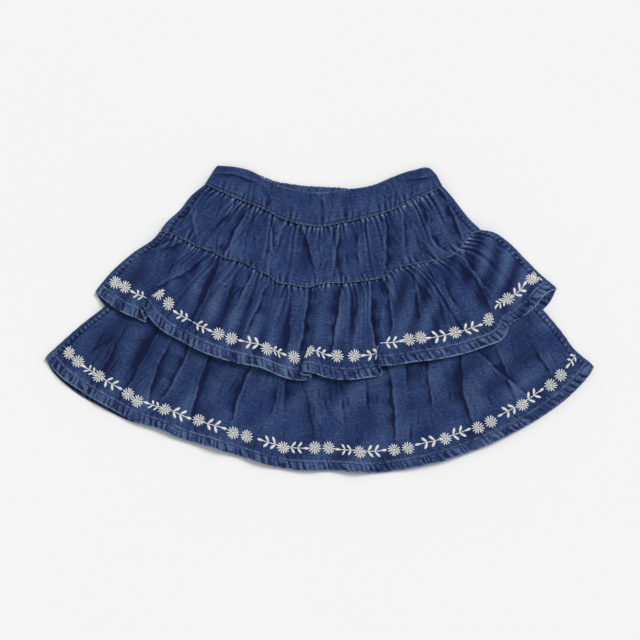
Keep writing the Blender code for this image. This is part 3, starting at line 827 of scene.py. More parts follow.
def blurred(field, reach):
    """Running mean over a grid, twice along both axes."""
    for _ in range(2):
        for axis in (0, 1):
            pads = [(reach, reach) if a == axis else (0, 0) for a in (0, 1)]
            sums = np.cumsum(np.pad(field, pads, mode="edge"), axis=axis)
            sums = np.insert(sums, 0, 0.0, axis=axis)
            size = 2 * reach + 1
            high = np.take(sums, np.arange(size, sums.shape[axis]), axis=axis)
            low = np.take(sums, np.arange(0, sums.shape[axis] - size), axis=axis)
            field = (high - low) / size
    return field


def add_object(name, mesh, material):
    """Put a mesh in the scene as a piece that lies still with the skirt."""
    mesh.materials.append(material)
    mesh.shade_smooth()
    piece = bpy.data.objects.new(name, mesh)
    bpy.context.scene.collection.objects.link(piece)
    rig.ride(piece, "root")
    return piece


def painted_broad_shade(plan):
    """Painted shade: broad places darkened more than the rest, as bells over the plan."""
    shade = np.zeros(plan.shape[:2])
    for x, y, half_width, half_height, amount in PAINTED_SHADE_PLACES:
        apart = ((plan[..., 0] - x) / half_width) ** 2 + ((plan[..., 1] - y) / half_height) ** 2
        shade += amount * np.exp(-apart)
    return shade


def cloth_mesh(cloth, detail, wear, pull):
    """Close a panel: its underside, its outer side and the rim all round. It carries a map of the cloth in metres, and
    the attributes fold, wear and pull for its material. Fold is how far the detail stands over itself evened, narrowly
    and broadly, which darkens creases and hollows as painted shade, less the painted shade of broad places."""
    rows, columns = cloth.under.shape[:2]
    index = np.arange(rows * columns).reshape(rows, columns)
    a, b = index[:-1, :-1], index[1:, :-1]
    c, d = index[1:, 1:], index[:-1, 1:]
    low = np.stack((a, d, c, b), axis=-1).reshape(-1, 4)
    high = np.stack((a, b, c, d), axis=-1).reshape(-1, 4) + rows * columns
    rim = np.concatenate((index[:, 0], index[-1, 1:], index[-2::-1, -1], index[0, -2:0:-1]))
    after = np.roll(rim, -1)
    side = np.stack((rim, after, after + rows * columns, rim + rows * columns), axis=-1)
    points = np.concatenate((cloth.under.reshape(-1, 3), cloth.outer.reshape(-1, 3))) * MM
    mesh = bpy.data.meshes.new(cloth.name)
    mesh.from_pydata(points.tolist(), [], np.concatenate((low, high, side)).tolist())
    width = row_length(cloth.outer[-1])
    chart = np.dstack((np.broadcast_to(cloth.across * width, cloth.distance.shape),
                       cloth.distance)).reshape(-1, 2) * MM
    chart = np.concatenate((chart, chart))
    corners = np.empty(len(mesh.loops), dtype=int)
    mesh.loops.foreach_get("vertex_index", corners)
    mesh.uv_layers.new(name="cloth").data.foreach_set("uv", chart[corners].ravel())
    fold = sum(np.clip((detail - blurred(detail, reach)) / scale, -1, 1)
               for reach, scale in zip(FOLD_BLUR, FOLD_SCALE))
    # less the painted shade of the broad places
    fold = (fold - painted_broad_shade(cloth.outer)).ravel()
    wear = wear.ravel()
    pull = pull.ravel()
    # the back panels' inner side shows less wear, which keeps it darker as painted shade; the back tiers' inner side
    # gets more painted shade
    shown = INSIDE_WEAR_AND_SHADE if cloth.name.endswith("back") else 1.0
    shade = INSIDE_PAINTED_SHADE if cloth.name in ("upper_ruffle_back", "lower_tier_back") else 0.0
    fields = (("fold", fold, fold - shade), ("wear", wear, wear * shown), ("pull", pull, pull))
    for name, lower, upper in fields:
        store = mesh.attributes.new(name, "FLOAT", "POINT")
        store.data.foreach_set("value", np.concatenate((lower, upper)))
    return mesh


def lay(name, plan, lift, detail, across, down, thickness, wear, pull, below, least=0.0):
    """Lay a panel over those below it. Its middle surface is the bed, half its thickness,
    its lift and its detail, kept softly above the least height, as half the sum of h and the
    root of h squared and the softness; its two sides are half the thickness away along the
    normal. Then its mesh replaces the CAD panel of that name."""
    props = bpy.context.scene.skirt_cloth
    flat, held = SHEETS[name]
    height = lift + detail - least
    height = 0.5 * (height + np.sqrt(height**2 + BED_SOFTNESS)) - BED_SINK
    height = np.maximum(height, 0.0) + least
    level = bed_height(plan, below) + thickness[:, None] / 2 + height
    middle = np.dstack((plan, level))
    normal = np.cross(np.gradient(middle, axis=0), np.gradient(middle, axis=1))
    normal /= np.linalg.norm(normal, axis=2, keepdims=True)
    offset = normal * thickness[:, None, None] / 2
    under = middle - offset
    under[..., 2] = np.maximum(under[..., 2], 0.0)
    cloth = Cloth(name, across, down, under, middle + offset)
    mesh = cloth_mesh(cloth, detail, wear, pull)
    piece = add_object(name + "_cloth", mesh, chambray(props))
    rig.replaces(piece, name)
    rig.slot(piece, "chambray")
    rests = [other.name + "_cloth" for other in below]
    cloth.sheet = dict(obj=piece, flat=flat, held=held, rests_on=rests, with_pieces=[])
    LAID[name] = cloth
    return cloth


def edge_thickness(down, length, layer, hem=None, turned=1.0):
    """Thickness of each row: one layer, the turned hem's below the row turned, and less
    towards both edges, as a quarter circle, where the cloth rounds off."""
    thick = np.where(down > turned, layer if hem is None else hem, layer)
    edge = np.minimum(down, 1 - down) * length
    round_off = np.sqrt(1 - (1 - np.clip(edge / EDGE_ROUND, 0, 1)) ** 2)
    return thick * (EDGE_LEAST + (1 - EDGE_LEAST) * round_off)


# Materials

def new_node(tree, kind, inputs=None, **settings):
    """Add a node, with its settings and its inputs' values or links."""
    made = tree.nodes.new(kind)
    for key, value in settings.items():
        setattr(made, key, value)
    for key, value in (inputs or {}).items():
        if isinstance(value, bpy.types.NodeSocket):
            tree.links.new(value, made.inputs[key])
        else:
            made.inputs[key].default_value = value
    return made


def math_node(tree, operation, first, second=0.0, clamp=False):
    """One sum of two values."""
    made = new_node(tree, "ShaderNodeMath", {0: first, 1: second}, operation=operation)
    made.use_clamp = clamp
    return made.outputs[0]


def shares_node(tree, shares):
    """The sum of values, each times its share."""
    terms = [math_node(tree, "MULTIPLY", value, share) for value, share in shares]
    total = terms[0]
    for term in terms[1:]:
        total = math_node(tree, "ADD", total, term)
    return total


def stretched_noise(tree, vector, scale, detail=2.0, roughness=0.5, kind="FBM"):
    """Noise on the cloth's own map, with its own scale along and across."""
    placed = new_node(tree, "ShaderNodeVectorMath", {0: vector, 1: scale},
                      operation="MULTIPLY")
    noise = new_node(tree, "ShaderNodeTexNoise",
                     {"Vector": placed.outputs[0], "Scale": 1.0, "Detail": detail,
                      "Roughness": roughness}, noise_type=kind)
    return noise.outputs["Fac"]


def group_sockets(group, direction, names):
    """Give a node group its named sockets."""
    for name, kind in names:
        group.interface.new_socket(name, in_out=direction, socket_type=kind)


def washed_cloth_group():
    """Colour and relief of washed chambray. Slubs are noise stretched along the weft, blotches and crumple are even
    noise, wrinkles are ridged noise stretched the way the cloth is pulled, flecks are small noise, and the weave is
    the product of two sines. The wrinkles also lighten the colour along their ridges, as painted highlight. Folds
    darken towards the deep colour, as painted shade in creases and hollows; ridges go to the worn colour, as wear and
    partly as painted highlight; and rubbed edges go to bare thread."""
    name = "washed_chambray"
    if name in bpy.data.node_groups:
        return bpy.data.node_groups[name]
    tree = bpy.data.node_groups.new(name, "ShaderNodeTree")
    # Deep is the colour of the painted shade in creases and hollows
    group_sockets(tree, "INPUT", (
        ("Map", "NodeSocketVector"), ("Fold", "NodeSocketFloat"), ("Wear", "NodeSocketFloat"),
        ("Pull", "NodeSocketFloat"), ("Cloth", "NodeSocketColor"),
        ("Worn", "NodeSocketColor"), ("Deep", "NodeSocketColor"), ("Bare", "NodeSocketColor"),
    ))
    group_sockets(tree, "OUTPUT", (("Color", "NodeSocketColor"), ("Height", "NodeSocketFloat"),
                                   ("Roughness", "NodeSocketFloat")))
    source = new_node(tree, "NodeGroupInput").outputs
    slub = stretched_noise(tree, source["Map"], (45.0, 900.0, 1.0), 3.0)
    thread = stretched_noise(tree, source["Map"], (160.0, 2600.0, 1.0), 2.0)
    warp = stretched_noise(tree, source["Map"], (2400.0, 140.0, 1.0), 2.0)
    blotch = stretched_noise(tree, source["Map"], (28.0, 28.0, 1.0), 3.0)
    crumple = stretched_noise(tree, source["Map"], (150.0, 190.0, 1.0), 5.0, 0.62)
    fleck = stretched_noise(tree, source["Map"], (430.0, 620.0, 1.0), 1.0, 0.6)
    ridged = stretched_noise(tree, source["Map"], (115.0, 30.0, 1.0), 2.0, 0.5,
                             "RIDGED_MULTIFRACTAL")
    wrinkle = math_node(tree, "MULTIPLY", math_node(tree, "SUBTRACT", ridged, 0.9),
                        source["Pull"])
    parts = new_node(tree, "ShaderNodeSeparateXYZ", {0: source["Map"]}).outputs
    across = math_node(tree, "SINE", math_node(tree, "MULTIPLY", parts[0], 11000.0))
    along = math_node(tree, "SINE", math_node(tree, "MULTIPLY", parts[1], 12500.0))
    weave = math_node(tree, "MULTIPLY", across, along)

    # the wrinkles' share lightens the colour along their ridges, as painted highlight; the rest is the cloth's own
    # uneven tone
    streaks = shares_node(tree, (
        (slub, 1.2), (thread, 0.7), (warp, 0.3), (blotch, 0.9), (crumple, 0.5),
        (wrinkle, 0.3), (fleck, 1.7),
    ))
    light = math_node(tree, "SUBTRACT", streaks, 2.43)
    # ridges lighter: wear, and partly painted highlight
    ridge = math_node(tree, "MULTIPLY", math_node(tree, "MAXIMUM", source["Fold"], 0.0), 0.55)
    light = math_node(tree, "ADD", light, ridge, clamp=True)
    patchy = shares_node(tree, ((crumple, 2.6), (fleck, 1.4), (blotch, 1.6)))
    patchy = math_node(tree, "SUBTRACT", patchy, 2.35, clamp=True)
    bare_at = math_node(tree, "MULTIPLY", source["Wear"], patchy, clamp=True)
    # creases and hollows darker: painted shade, added to the blotches' random tone
    crease_shade = math_node(tree, "MAXIMUM", math_node(tree, "MULTIPLY", source["Fold"], -0.95), 0.0)
    grain = math_node(tree, "MULTIPLY", math_node(tree, "SUBTRACT", 0.5, blotch), 0.7)
    shade_and_grain = math_node(tree, "ADD", crease_shade, math_node(tree, "MAXIMUM", grain, 0.0), clamp=True)
    washed = new_node(tree, "ShaderNodeMix", {0: light, 6: source["Cloth"],
                                              7: source["Worn"]}, data_type="RGBA")
    shaded = new_node(tree, "ShaderNodeMix", {0: shade_and_grain, 6: washed.outputs[2],
                                              7: source["Deep"]}, data_type="RGBA")
    rubbed = new_node(tree, "ShaderNodeMix", {0: bare_at, 6: shaded.outputs[2],
                                              7: source["Bare"]}, data_type="RGBA")
    height = shares_node(tree, (
        (crumple, 0.75), (slub, 0.14), (thread, 0.07), (weave, 0.035), (wrinkle, 0.42),
        (fleck, 0.12),
    ))
    rough = math_node(tree, "ADD", math_node(tree, "MULTIPLY", crumple, 0.16), 0.78)
    new_node(tree, "NodeGroupOutput", {"Color": rubbed.outputs[2], "Height": height,
                                       "Roughness": rough})
    return tree


def chambray(props):
    """Washed indigo chambray, matt, with a faint sheen."""
    name = "washed_indigo_chambray"
    if name in bpy.data.materials:
        return bpy.data.materials[name]
    made = bpy.data.materials.new(name)
    made.use_nodes = True
    tree = made.node_tree
    shader = tree.nodes["Principled BSDF"]
    chart = new_node(tree, "ShaderNodeUVMap", uv_map="cloth").outputs[0]
    fold = new_node(tree, "ShaderNodeAttribute", attribute_name="fold").outputs["Fac"]
    wear = new_node(tree, "ShaderNodeAttribute", attribute_name="wear").outputs["Fac"]
    pull = new_node(tree, "ShaderNodeAttribute", attribute_name="pull").outputs["Fac"]
    look = new_node(tree, "ShaderNodeGroup", node_tree=washed_cloth_group())
    for key, value in (("Map", chart), ("Fold", fold), ("Wear", wear), ("Pull", pull)):
        tree.links.new(value, look.inputs[key])
    look.inputs["Cloth"].default_value = (*props.cloth, 1.0)
    look.inputs["Worn"].default_value = (*props.worn, 1.0)
    look.inputs["Deep"].default_value = (*props.deep, 1.0)
    look.inputs["Bare"].default_value = (*props.bare, 1.0)
    bump = new_node(tree, "ShaderNodeBump", {"Height": look.outputs["Height"],
                                             "Strength": 0.8, "Distance": 0.0011})
    tree.links.new(look.outputs["Color"], shader.inputs["Base Color"])
    tree.links.new(look.outputs["Roughness"], shader.inputs["Roughness"])
    tree.links.new(bump.outputs[0], shader.inputs["Normal"])
    shader.inputs["Specular IOR Level"].default_value = 0.12
    shader.inputs["Sheen Weight"].default_value = 0.03
    shader.inputs["Sheen Roughness"].default_value = 0.5
    shader.inputs["Sheen Tint"].default_value = (0.55, 0.65, 0.9, 1.0)
    return made


def thread_group():
    """Colour and relief of laid thread: strands are a sine across the thread's own map, broken up by noise, and the
    grooves between them are darkened as painted shade."""
    name = "laid_thread"
    if name in bpy.data.node_groups:
        return bpy.data.node_groups[name]
    tree = bpy.data.node_groups.new(name, "ShaderNodeTree")
    group_sockets(tree, "INPUT", (
        ("Map", "NodeSocketVector"), ("Light", "NodeSocketColor"),
        ("Groove", "NodeSocketColor"), ("Strands", "NodeSocketFloat"),
    ))
    group_sockets(tree, "OUTPUT", (("Color", "NodeSocketColor"), ("Height", "NodeSocketFloat")))
    source = new_node(tree, "NodeGroupInput").outputs
    parts = new_node(tree, "ShaderNodeSeparateXYZ", {0: source["Map"]}).outputs
    wander = stretched_noise(tree, source["Map"], (300.0, 1200.0, 1.0), 2.0)
    turns = math_node(tree, "MULTIPLY", parts[1], source["Strands"])
    turns = math_node(tree, "ADD", turns, math_node(tree, "MULTIPLY", wander, 3.0))
    wave = math_node(tree, "SINE", turns)
    # the grooves' colour is painted shade between the strands, broken up by the noise
    shade = math_node(tree, "ADD", math_node(tree, "MULTIPLY", wave, 0.3), wander)
    colour = new_node(tree, "ShaderNodeMix", {0: math_node(tree, "SUBTRACT", 0.6, shade, True),
                                              6: source["Light"], 7: source["Groove"]},
                      data_type="RGBA")
    new_node(tree, "NodeGroupOutput", {"Color": colour.outputs[2], "Height": wave})
    return tree


def thread_material(name, light, groove, strands, roughness):
    """Thread of one colour, with its strands."""
    if name in bpy.data.materials:
        return bpy.data.materials[name]
    made = bpy.data.materials.new(name)
    made.use_nodes = True
    tree = made.node_tree
    shader = tree.nodes["Principled BSDF"]
    chart = new_node(tree, "ShaderNodeUVMap", uv_map="thread").outputs[0]
    look = new_node(tree, "ShaderNodeGroup", node_tree=thread_group())
    tree.links.new(chart, look.inputs["Map"])
    look.inputs["Light"].default_value = (*light, 1.0)
    look.inputs["Groove"].default_value = (*groove, 1.0)
    look.inputs["Strands"].default_value = strands
    bump = new_node(tree, "ShaderNodeBump", {"Height": look.outputs["Height"],
                                             "Strength": 0.6, "Distance": 0.00012})
    tree.links.new(look.outputs["Color"], shader.inputs["Base Color"])
    tree.links.new(bump.outputs[0], shader.inputs["Normal"])
    shader.inputs["Roughness"].default_value = roughness
    shader.inputs["Sheen Weight"].default_value = 0.15
    return made


# Stitches and embroidery

# rings of a seed of thread: share of its length, and of its width there
GRAIN_RINGS = ((0.06, 0.45), (0.3, 0.88), (0.66, 1.0), (0.92, 0.46))
GRAIN_AROUND = 6
GRAIN_SINK = 0.4            # share of its height that a seed goes into the cloth
GRAIN_LIFT = 0.15           # share of its height that its middle lies over the cloth
# half width, height and taper of the seeds
STITCH_SEED = (0.24, 0.26, 0.0)
PETAL_SEED = (0.98, 0.8, 0.5)
STEM_SEED = (0.55, 0.55, 0.0)
LEAF_SEED = (1.85, 0.8, 0.3)
BUD_SEED = (1.85, 0.9, 0.4)
KNOT_SEED = (1.3, 0.9, 0.0)
STITCH_PITCH = 1.28         # from topstitch to topstitch, in stitch lengths
KNOT_LENGTH = 2.7
PETAL_STARTS = 1.1          # from a daisy's middle
BUD_LENGTH = 6.8
STEM_STITCH = 3.4           # about how long a stem's stitches are
STEM_GAP = 2.0              # from either end of a sprig to its stem
STEM_OVERLAP = 1.35         # a stem stitch's length, in steps from one to the next
LEAF_PLACES = (0.36, 0.64)  # shares of the way from root to bud
LEAF_LEAN = 0.92


def border_line(cloth, over_hem):
    """The line that runs over_hem above a panel's lower edge. Return how far along it its
    points lie seen from above, the points, and a function that lays points on the panel,
    given their place along the line, over it, off the cloth and the face: s follows the
    line's length, t goes up the column."""
    row = np.searchsorted(cloth.down, BORDER_SCALE_AT)
    reach = cloth.distance[-1] - cloth.distance[row]
    scale = (1 - cloth.down[row]) / reach
    line_t = 1 - over_hem * scale
    line = cloth.on_surface(cloth.across, line_t, np.zeros(len(line_t)), 1)
    steps = np.hypot(*np.diff(line[:, :2], axis=0).T)
    along = np.concatenate(([0.0], np.cumsum(steps)))

    def points(a, b, above, face):
        s = np.interp(a, along, cloth.across)
        t = np.interp(s, cloth.across, line_t) - b * np.interp(s, cloth.across, scale)
        return cloth.on_surface(s, np.clip(t, 0, 1), above, face)

    return along, line, points


def grains(rows):
    """Slim closed seeds of thread on the flat cloth. Each row holds place along and over the
    line, turn, length, half width, height and taper. A seed is rings of an ellipse, its
    lower half sunk, between two poles; its inner end is narrower by the taper."""
    rows = np.asarray(rows, dtype=float)
    a, b, turn, length, half, high, taper = (rows[:, k, None] for k in range(7))
    around = np.arange(GRAIN_AROUND) * 2 * np.pi / GRAIN_AROUND
    ring_x = np.repeat([x for x, _ in GRAIN_RINGS], GRAIN_AROUND)
    ring_w = np.repeat([w for _, w in GRAIN_RINGS], GRAIN_AROUND)
    unit_x = np.concatenate(([0.0], ring_x, [1.0]))
    unit_w = np.concatenate(([0.0], ring_w, [0.0]))
    spin = np.concatenate(([0.0], np.tile(around, len(GRAIN_RINGS)), [0.0]))
    rise = np.sin(spin)
    rise = np.where(rise > 0, rise, GRAIN_SINK * rise)
    narrow = 1 - taper * (1 - unit_x)
    x = unit_x * length
    y = unit_w * np.cos(spin) * half * narrow
    z = unit_w * rise * high * narrow + GRAIN_LIFT * high
    flat = np.stack((a + x * np.cos(turn) - y * np.sin(turn),
                     b + x * np.sin(turn) + y * np.cos(turn), z), axis=-1)
    chart = np.stack((x, y + np.zeros_like(x)), axis=-1)
    count = len(unit_x)
    k = np.arange(GRAIN_AROUND)
    k2 = (k + 1) % GRAIN_AROUND
    faces = [np.stack((np.zeros_like(k), 1 + k2, 1 + k), axis=1)]
    for ring in range(len(GRAIN_RINGS) - 1):
        first = 1 + ring * GRAIN_AROUND
        second = first + GRAIN_AROUND
        faces.append(np.stack((first + k, first + k2, second + k2), axis=1))
        faces.append(np.stack((first + k, second + k2, second + k), axis=1))
    last = 1 + (len(GRAIN_RINGS) - 1) * GRAIN_AROUND
    faces.append(np.stack((last + k, last + k2, np.full_like(k, count - 1)), axis=1))
    faces = np.concatenate(faces)[None] + (np.arange(len(rows)) * count)[:, None, None]
    return flat.reshape(-1, 3), faces.reshape(-1, 3), chart.reshape(-1, 2)


def thread_mesh(name, parts, material, face):
    """Join seeds of thread that lie on the cloth into one piece. Each part holds the rows of
    seeds and the function that lays them."""
    points, faces, charts = [], [], []
    start = 0
    for rows, place in parts:
        flat, part_faces, chart = grains(rows)
        points.append(place(flat[:, 0], flat[:, 1], flat[:, 2], face))
        faces.append(part_faces + start)
        charts.append(chart)
        start += len(flat)
    faces = np.concatenate(faces)
    if face < 0:
        faces = faces[:, ::-1]
    mesh = bpy.data.meshes.new(name)
    mesh.from_pydata((np.concatenate(points) * MM).tolist(), [], faces.tolist())
    corners = np.empty(len(mesh.loops), dtype=int)
    mesh.loops.foreach_get("vertex_index", corners)
    chart = np.concatenate(charts) * MM
    mesh.uv_layers.new(name="thread").data.foreach_set("uv", chart[corners].ravel())
    return add_object(name, mesh, material)


def stitch_rows(length, props, seed):
    """A row of running stitches: even places with a little wander."""
    rng = np.random.default_rng(seed)
    pitch = props.stitch / MM * STITCH_PITCH
    count = int((length - 2 * BORDER_STOPS) / pitch)
    rows = np.zeros((count, 7))
    rows[:, 0] = BORDER_STOPS + np.arange(count) * pitch
    rows[:, 1] = rng.normal(0, 0.06, count)
    rows[:, 2] = rng.normal(0, 0.03, count)
    rows[:, 3] = props.stitch / MM
    rows[:, 4:] = STITCH_SEED
    return rows


def daisy_rows(a, b, props, rng):
    """Petals as straight stitches round a centre, even turns with a little wander, and a
    round knot in the middle."""
    count = props.petals
    outer = props.daisy / MM / 2
    turn = (np.arange(count) + rng.uniform(-0.12, 0.12, count) + rng.uniform()) * 2 * np.pi
    turn = turn / count
    rows = np.zeros((count + 1, 7))
    rows[:count, 0] = a + PETAL_STARTS * np.cos(turn)
    rows[:count, 1] = b + PETAL_STARTS * np.sin(turn)
    rows[:count, 2] = turn
    rows[:count, 3] = (outer - PETAL_STARTS) * rng.uniform(0.93, 1.04, count)
    rows[:count, 4:] = PETAL_SEED
    rows[count] = (a - KNOT_LENGTH / 2, b, 0.0, KNOT_LENGTH, *KNOT_SEED)
    return rows


def sprig_rows(bud, reach, props, rng):
    """A stem of short overlapping stitches from the root to the bud, two pairs of leaves
    that lean towards the bud, and the bud. reach is the signed way from bud to root."""
    way = -np.sign(reach)
    ahead = 0.0 if way > 0 else np.pi
    root = bud + reach
    span = abs(reach)
    size = np.clip(span / BUD_AT, 0.72, 1.0)
    rows = []
    stitches = max(int(span / STEM_STITCH), 3)
    step = (span - 2 * STEM_GAP) / stitches
    for n in range(stitches):
        at = root + way * (STEM_GAP + n * step)
        rows.append((at, rng.normal(0, 0.08), ahead + rng.normal(0, 0.05),
                     step * STEM_OVERLAP, *STEM_SEED))
    leaf = props.leaf / MM
    half_leaf, leaf_height, leaf_taper = LEAF_SEED
    for share in LEAF_PLACES:
        at = root + way * share * span
        for side in (1, -1):
            turn = ahead + way * side * (LEAF_LEAN + rng.normal(0, 0.08))
            rows.append((at, 0.35 * side, turn, leaf * size * rng.uniform(0.94, 1.06),
                         half_leaf * size, leaf_height, leaf_taper))
    rows.append((bud - way * BUD_LENGTH / 2, 0.0, ahead, BUD_LENGTH, *BUD_SEED))
    return np.array(rows)


def sew(piece, panel, slot):
    """Give a piece of thread its slot, and count it with the cloth that it is on."""
    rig.slot(piece, slot)
    LAID[panel].sheet["with_pieces"].append(piece)


# What a user would change

class SkirtClothSettings(bpy.types.PropertyGroup):
    """Sizes and colours of the cloth."""

    layer: bpy.props.FloatProperty(
        name="Cloth", description="Thickness of one layer", default=0.0007, unit="LENGTH")
    double: bpy.props.FloatProperty(
        name="Double cloth", description="Thickness of waistband and turned hem",
        default=0.0014, unit="LENGTH")
    hem: bpy.props.FloatProperty(
        name="Hem", description="Depth of the turned hems", default=0.010, unit="LENGTH")
    cloth: bpy.props.FloatVectorProperty(
        name="Indigo", description="Colour of the cloth", subtype="COLOR",
        default=(0.0125, 0.0295, 0.106), min=0.0, max=1.0)
    # on ridges this colour is partly painted highlight
    worn: bpy.props.FloatVectorProperty(
        name="Worn", description="Colour of ridges and worn edges", subtype="COLOR",
        default=(0.062, 0.098, 0.205), min=0.0, max=1.0)
    # painted shade: the colour towards which creases and hollows are darkened
    deep: bpy.props.FloatVectorProperty(
        name="Deep", description="Colour down in the folds", subtype="COLOR",
        default=(0.0052, 0.0092, 0.043), min=0.0, max=1.0)
    bare: bpy.props.FloatVectorProperty(
        name="Bare", description="Colour of bare thread at rubbed edges", subtype="COLOR",
        default=(0.16, 0.235, 0.38), min=0.0, max=1.0)


class SkirtThreadSettings(bpy.types.PropertyGroup):
    """Sizes and colours of stitching and embroidery."""

    stitch: bpy.props.FloatProperty(
        name="Stitch", description="Length of one topstitch", default=0.0026, unit="LENGTH")
    sewing: bpy.props.FloatVectorProperty(
        name="Sewing thread", description="Colour of the topstitching", subtype="COLOR",
        default=(0.062, 0.095, 0.19), min=0.0, max=1.0)
    border: bpy.props.FloatProperty(
        name="Border", description="Height of the embroidered border above the hem",
        default=0.0235, unit="LENGTH")
    daisy: bpy.props.FloatProperty(
        name="Daisy", description="Width of one daisy", default=0.0142, unit="LENGTH")
    petals: bpy.props.IntProperty(
        name="Petals", description="Petals of one daisy", default=13, min=6, max=30)
    leaf: bpy.props.FloatProperty(
        name="Leaf", description="Length of one leaf", default=0.0079, unit="LENGTH")
    floss: bpy.props.FloatVectorProperty(
        name="Floss", description="Colour of the embroidery", subtype="COLOR",
        default=(0.78, 0.79, 0.77), min=0.0, max=1.0)


class SkirtStageSettings(bpy.types.PropertyGroup):
    """Floor, lights and camera."""

    floor: bpy.props.FloatVectorProperty(
        name="Floor", description="Colour of the floor", subtype="COLOR",
        default=(0.85, 0.85, 0.85), min=0.0, max=1.0)
    sky: bpy.props.FloatProperty(
        name="Sky", description="Strength of the even light", default=0.5)
    sun: bpy.props.FloatProperty(
        name="Sun", description="Strength of the light from the side", default=2.35)
    lens: bpy.props.FloatProperty(
        name="Lens", description="Focal length in millimetres", default=85.0)
    span: bpy.props.FloatProperty(
        name="View", description="Width seen on the floor", default=0.672, unit="LENGTH")


class SKIRT_OT_back(bpy.types.Operator):
    """Lay the four back panels, outermost first: waistband, yoke, upper ruffle, lower tier"""

    bl_idname = "skirt.back"
    bl_label = "Back panels"

    def execute(self, context):
        props = context.scene.skirt_cloth
        layer = props.layer / MM
        double = props.double / MM
        hem = props.hem / MM
        border_at = context.scene.skirt_thread.border / MM

        length = BACK_BAND_DEPTH
        across, down = even_grid(length, BACK_BAND_GRID)
        plan = band_plan(BAND_TOP_BACK, across, down)
        rng = np.random.default_rng(3)
        wander = sum(rng.uniform(0.3, 1.1) * np.sin(2 * np.pi * (n * across + rng.uniform()))
                     for n in (4, 9, 17, 29))
        ribs = np.abs(np.sin(np.pi * BAND_RIBS * across + wander))
        ribs = RIB_HEIGHT * (1 - (1 - ribs) ** 1.6) * side_fade(across, BAND_END)
        at_edge = np.exp(-((down * length / RIB_SCALLOP_REACH) ** 2))
        plan[..., 1] += RIB_SCALLOP * (ribs - ribs.mean())[None, :] * at_edge[:, None]
        # lower along the middle, where the elastic is held
        rows = 1 - 0.3 * np.exp(-(((down - 0.5) / 0.09) ** 2))
        detail = ribs[None, :] * rows[:, None]
        detail += stitch_grooves((1 - down) * length, BAND_STITCHES)[:, None]
        wear = edge_wear(down, length, (0.0, 1.0))[:, None] * np.ones(len(across))
        band = lay("waistband_back", plan, np.zeros_like(detail), detail, across, down,
                   edge_thickness(down, length, double), wear,
                   np.full(detail.shape, BAND_PULL), [], THREAD_CLEAR)

        length = BACK_YOKE_DEPTH
        across, down = even_grid(length, BACK_YOKE_GRID)
        plan = yoke_plan(across, down)
        away = below_top(down, length, across)
        detail = crease_height(plan, YOKE_BACK_CREASES)
        detail += seam_gathers(plan, across, away, seed=21, pitch=5.5, depth=0.9, reach=16.0)
        detail += seam_gathers(plan, across, length - away, seed=22, pitch=8.0, depth=0.4,
                               reach=5.0)
        detail += slow_waves(plan, seed=23, size=34.0, depth=0.5)
        detail += small_creases(plan, seed=24, count=90, depth=0.5)
        detail += stitch_grooves(length - away, YOKE_STITCHES)
        wear = edge_wear(down, length, (1.0,))[:, None] * np.ones(len(across))
        yoke = lay("yoke_back", plan, np.full(detail.shape, BACK_LIFT), detail, across, down,
                   edge_thickness(down, length, layer), wear, seam_pull(away, YOKE_PULL),
                   [band], THREAD_CLEAR)

        # hem, sides and creases, the depth, and the share of it that is hidden
        backs = (
            ("upper_ruffle_back", UPPER_HEM_BACK, UPPER_LEFT, UPPER_RIGHT, UPPER_BACK_CREASES,
             BACK_RUFFLE_DEPTH, 0.0),
            ("lower_tier_back", LOWER_HEM_BACK, LOWER_LEFT, LOWER_RIGHT, LOWER_BACK_CREASES,
             LOWER_TIER_DEPTH, 0.4),
        )
        below = [yoke]
        for tier, row in enumerate(backs):
            name, edge, left, right, creases, length, hidden = row
            across, down, plan, turned = tier_grid(edge, left, right, BACK_TIER_GRID,
                                                   length, hidden, hem)
            away = below_top(down, length, across)
            detail = crease_height(plan, creases)
            detail += seam_gathers(plan, across, away, seed=31 + tier, pitch=6.0, depth=1.0,
                                   reach=18.0)
            detail += slow_waves(plan, seed=33 + tier, size=38.0, depth=0.6)
            detail += small_creases(plan, seed=35 + tier, count=130, depth=0.5)
            detail += felled_sides(plan, across, away, seed=39 + tier)
            detail += hem_ripple(across, length - away, row_length(edge), hem,
                                 seed=37 + tier)
            wear = hem_wear(down, length, hem, detail)
            thick = edge_thickness(down, length, layer, double, turned)
            border = (length - away - border_at) / BORDER_ROOM
            least = THREAD_CLEAR + BORDER_CLEAR * np.exp(-(border**4))
            below.append(lay(name, plan, np.full(detail.shape, BACK_LIFT), detail, across,
                             down, thick, wear, seam_pull(away, TIER_PULL), below, least))
        return {"FINISHED"}


def seam_pull(away, reach):
    """How much the cloth is pulled into wrinkles: a quarter everywhere, and the rest of one
    at the seam, which dies away as exp(-d/reach)."""
    return 0.25 + 0.75 * np.exp(-away / reach)


def edge_wear(down, length, edges):
    """Wear of each row: full at the given edges and 0.4 mm inside them, gone at 1.4 mm."""
    wear = np.zeros(len(down))
    for edge in edges:
        wear = np.maximum(wear, 1 - ease(np.abs(down - edge) * length, 0.4, 1.4))
    return wear


def gather_wear(detail, away):
    """Wear on the tops of the gathers just below a seam, gone as exp(-(d/4)^2)."""
    tops = ease(detail - blurred(detail, 2), 0.03, 0.25)
    return 1.6 * tops * np.exp(-((away / 4.0) ** 2))


def hem_wear(down, length, hem, detail):
    """Wear of a turned hem: twice over along its lower edge, and along its stitch line and
    its ridges."""
    edge = 2 * edge_wear(down, length, (1.0,))
    to_hem = (1 - down) * length
    line = 0.75 * np.exp(-(((to_hem - hem - 0.5) / 0.8) ** 2))
    ridges = 0.24 * ease(detail - blurred(detail, 3), 0.0, 0.4)
    band = (to_hem < hem)[:, None]
    return np.maximum(edge, line)[:, None] + 0.04 * band + ridges * band


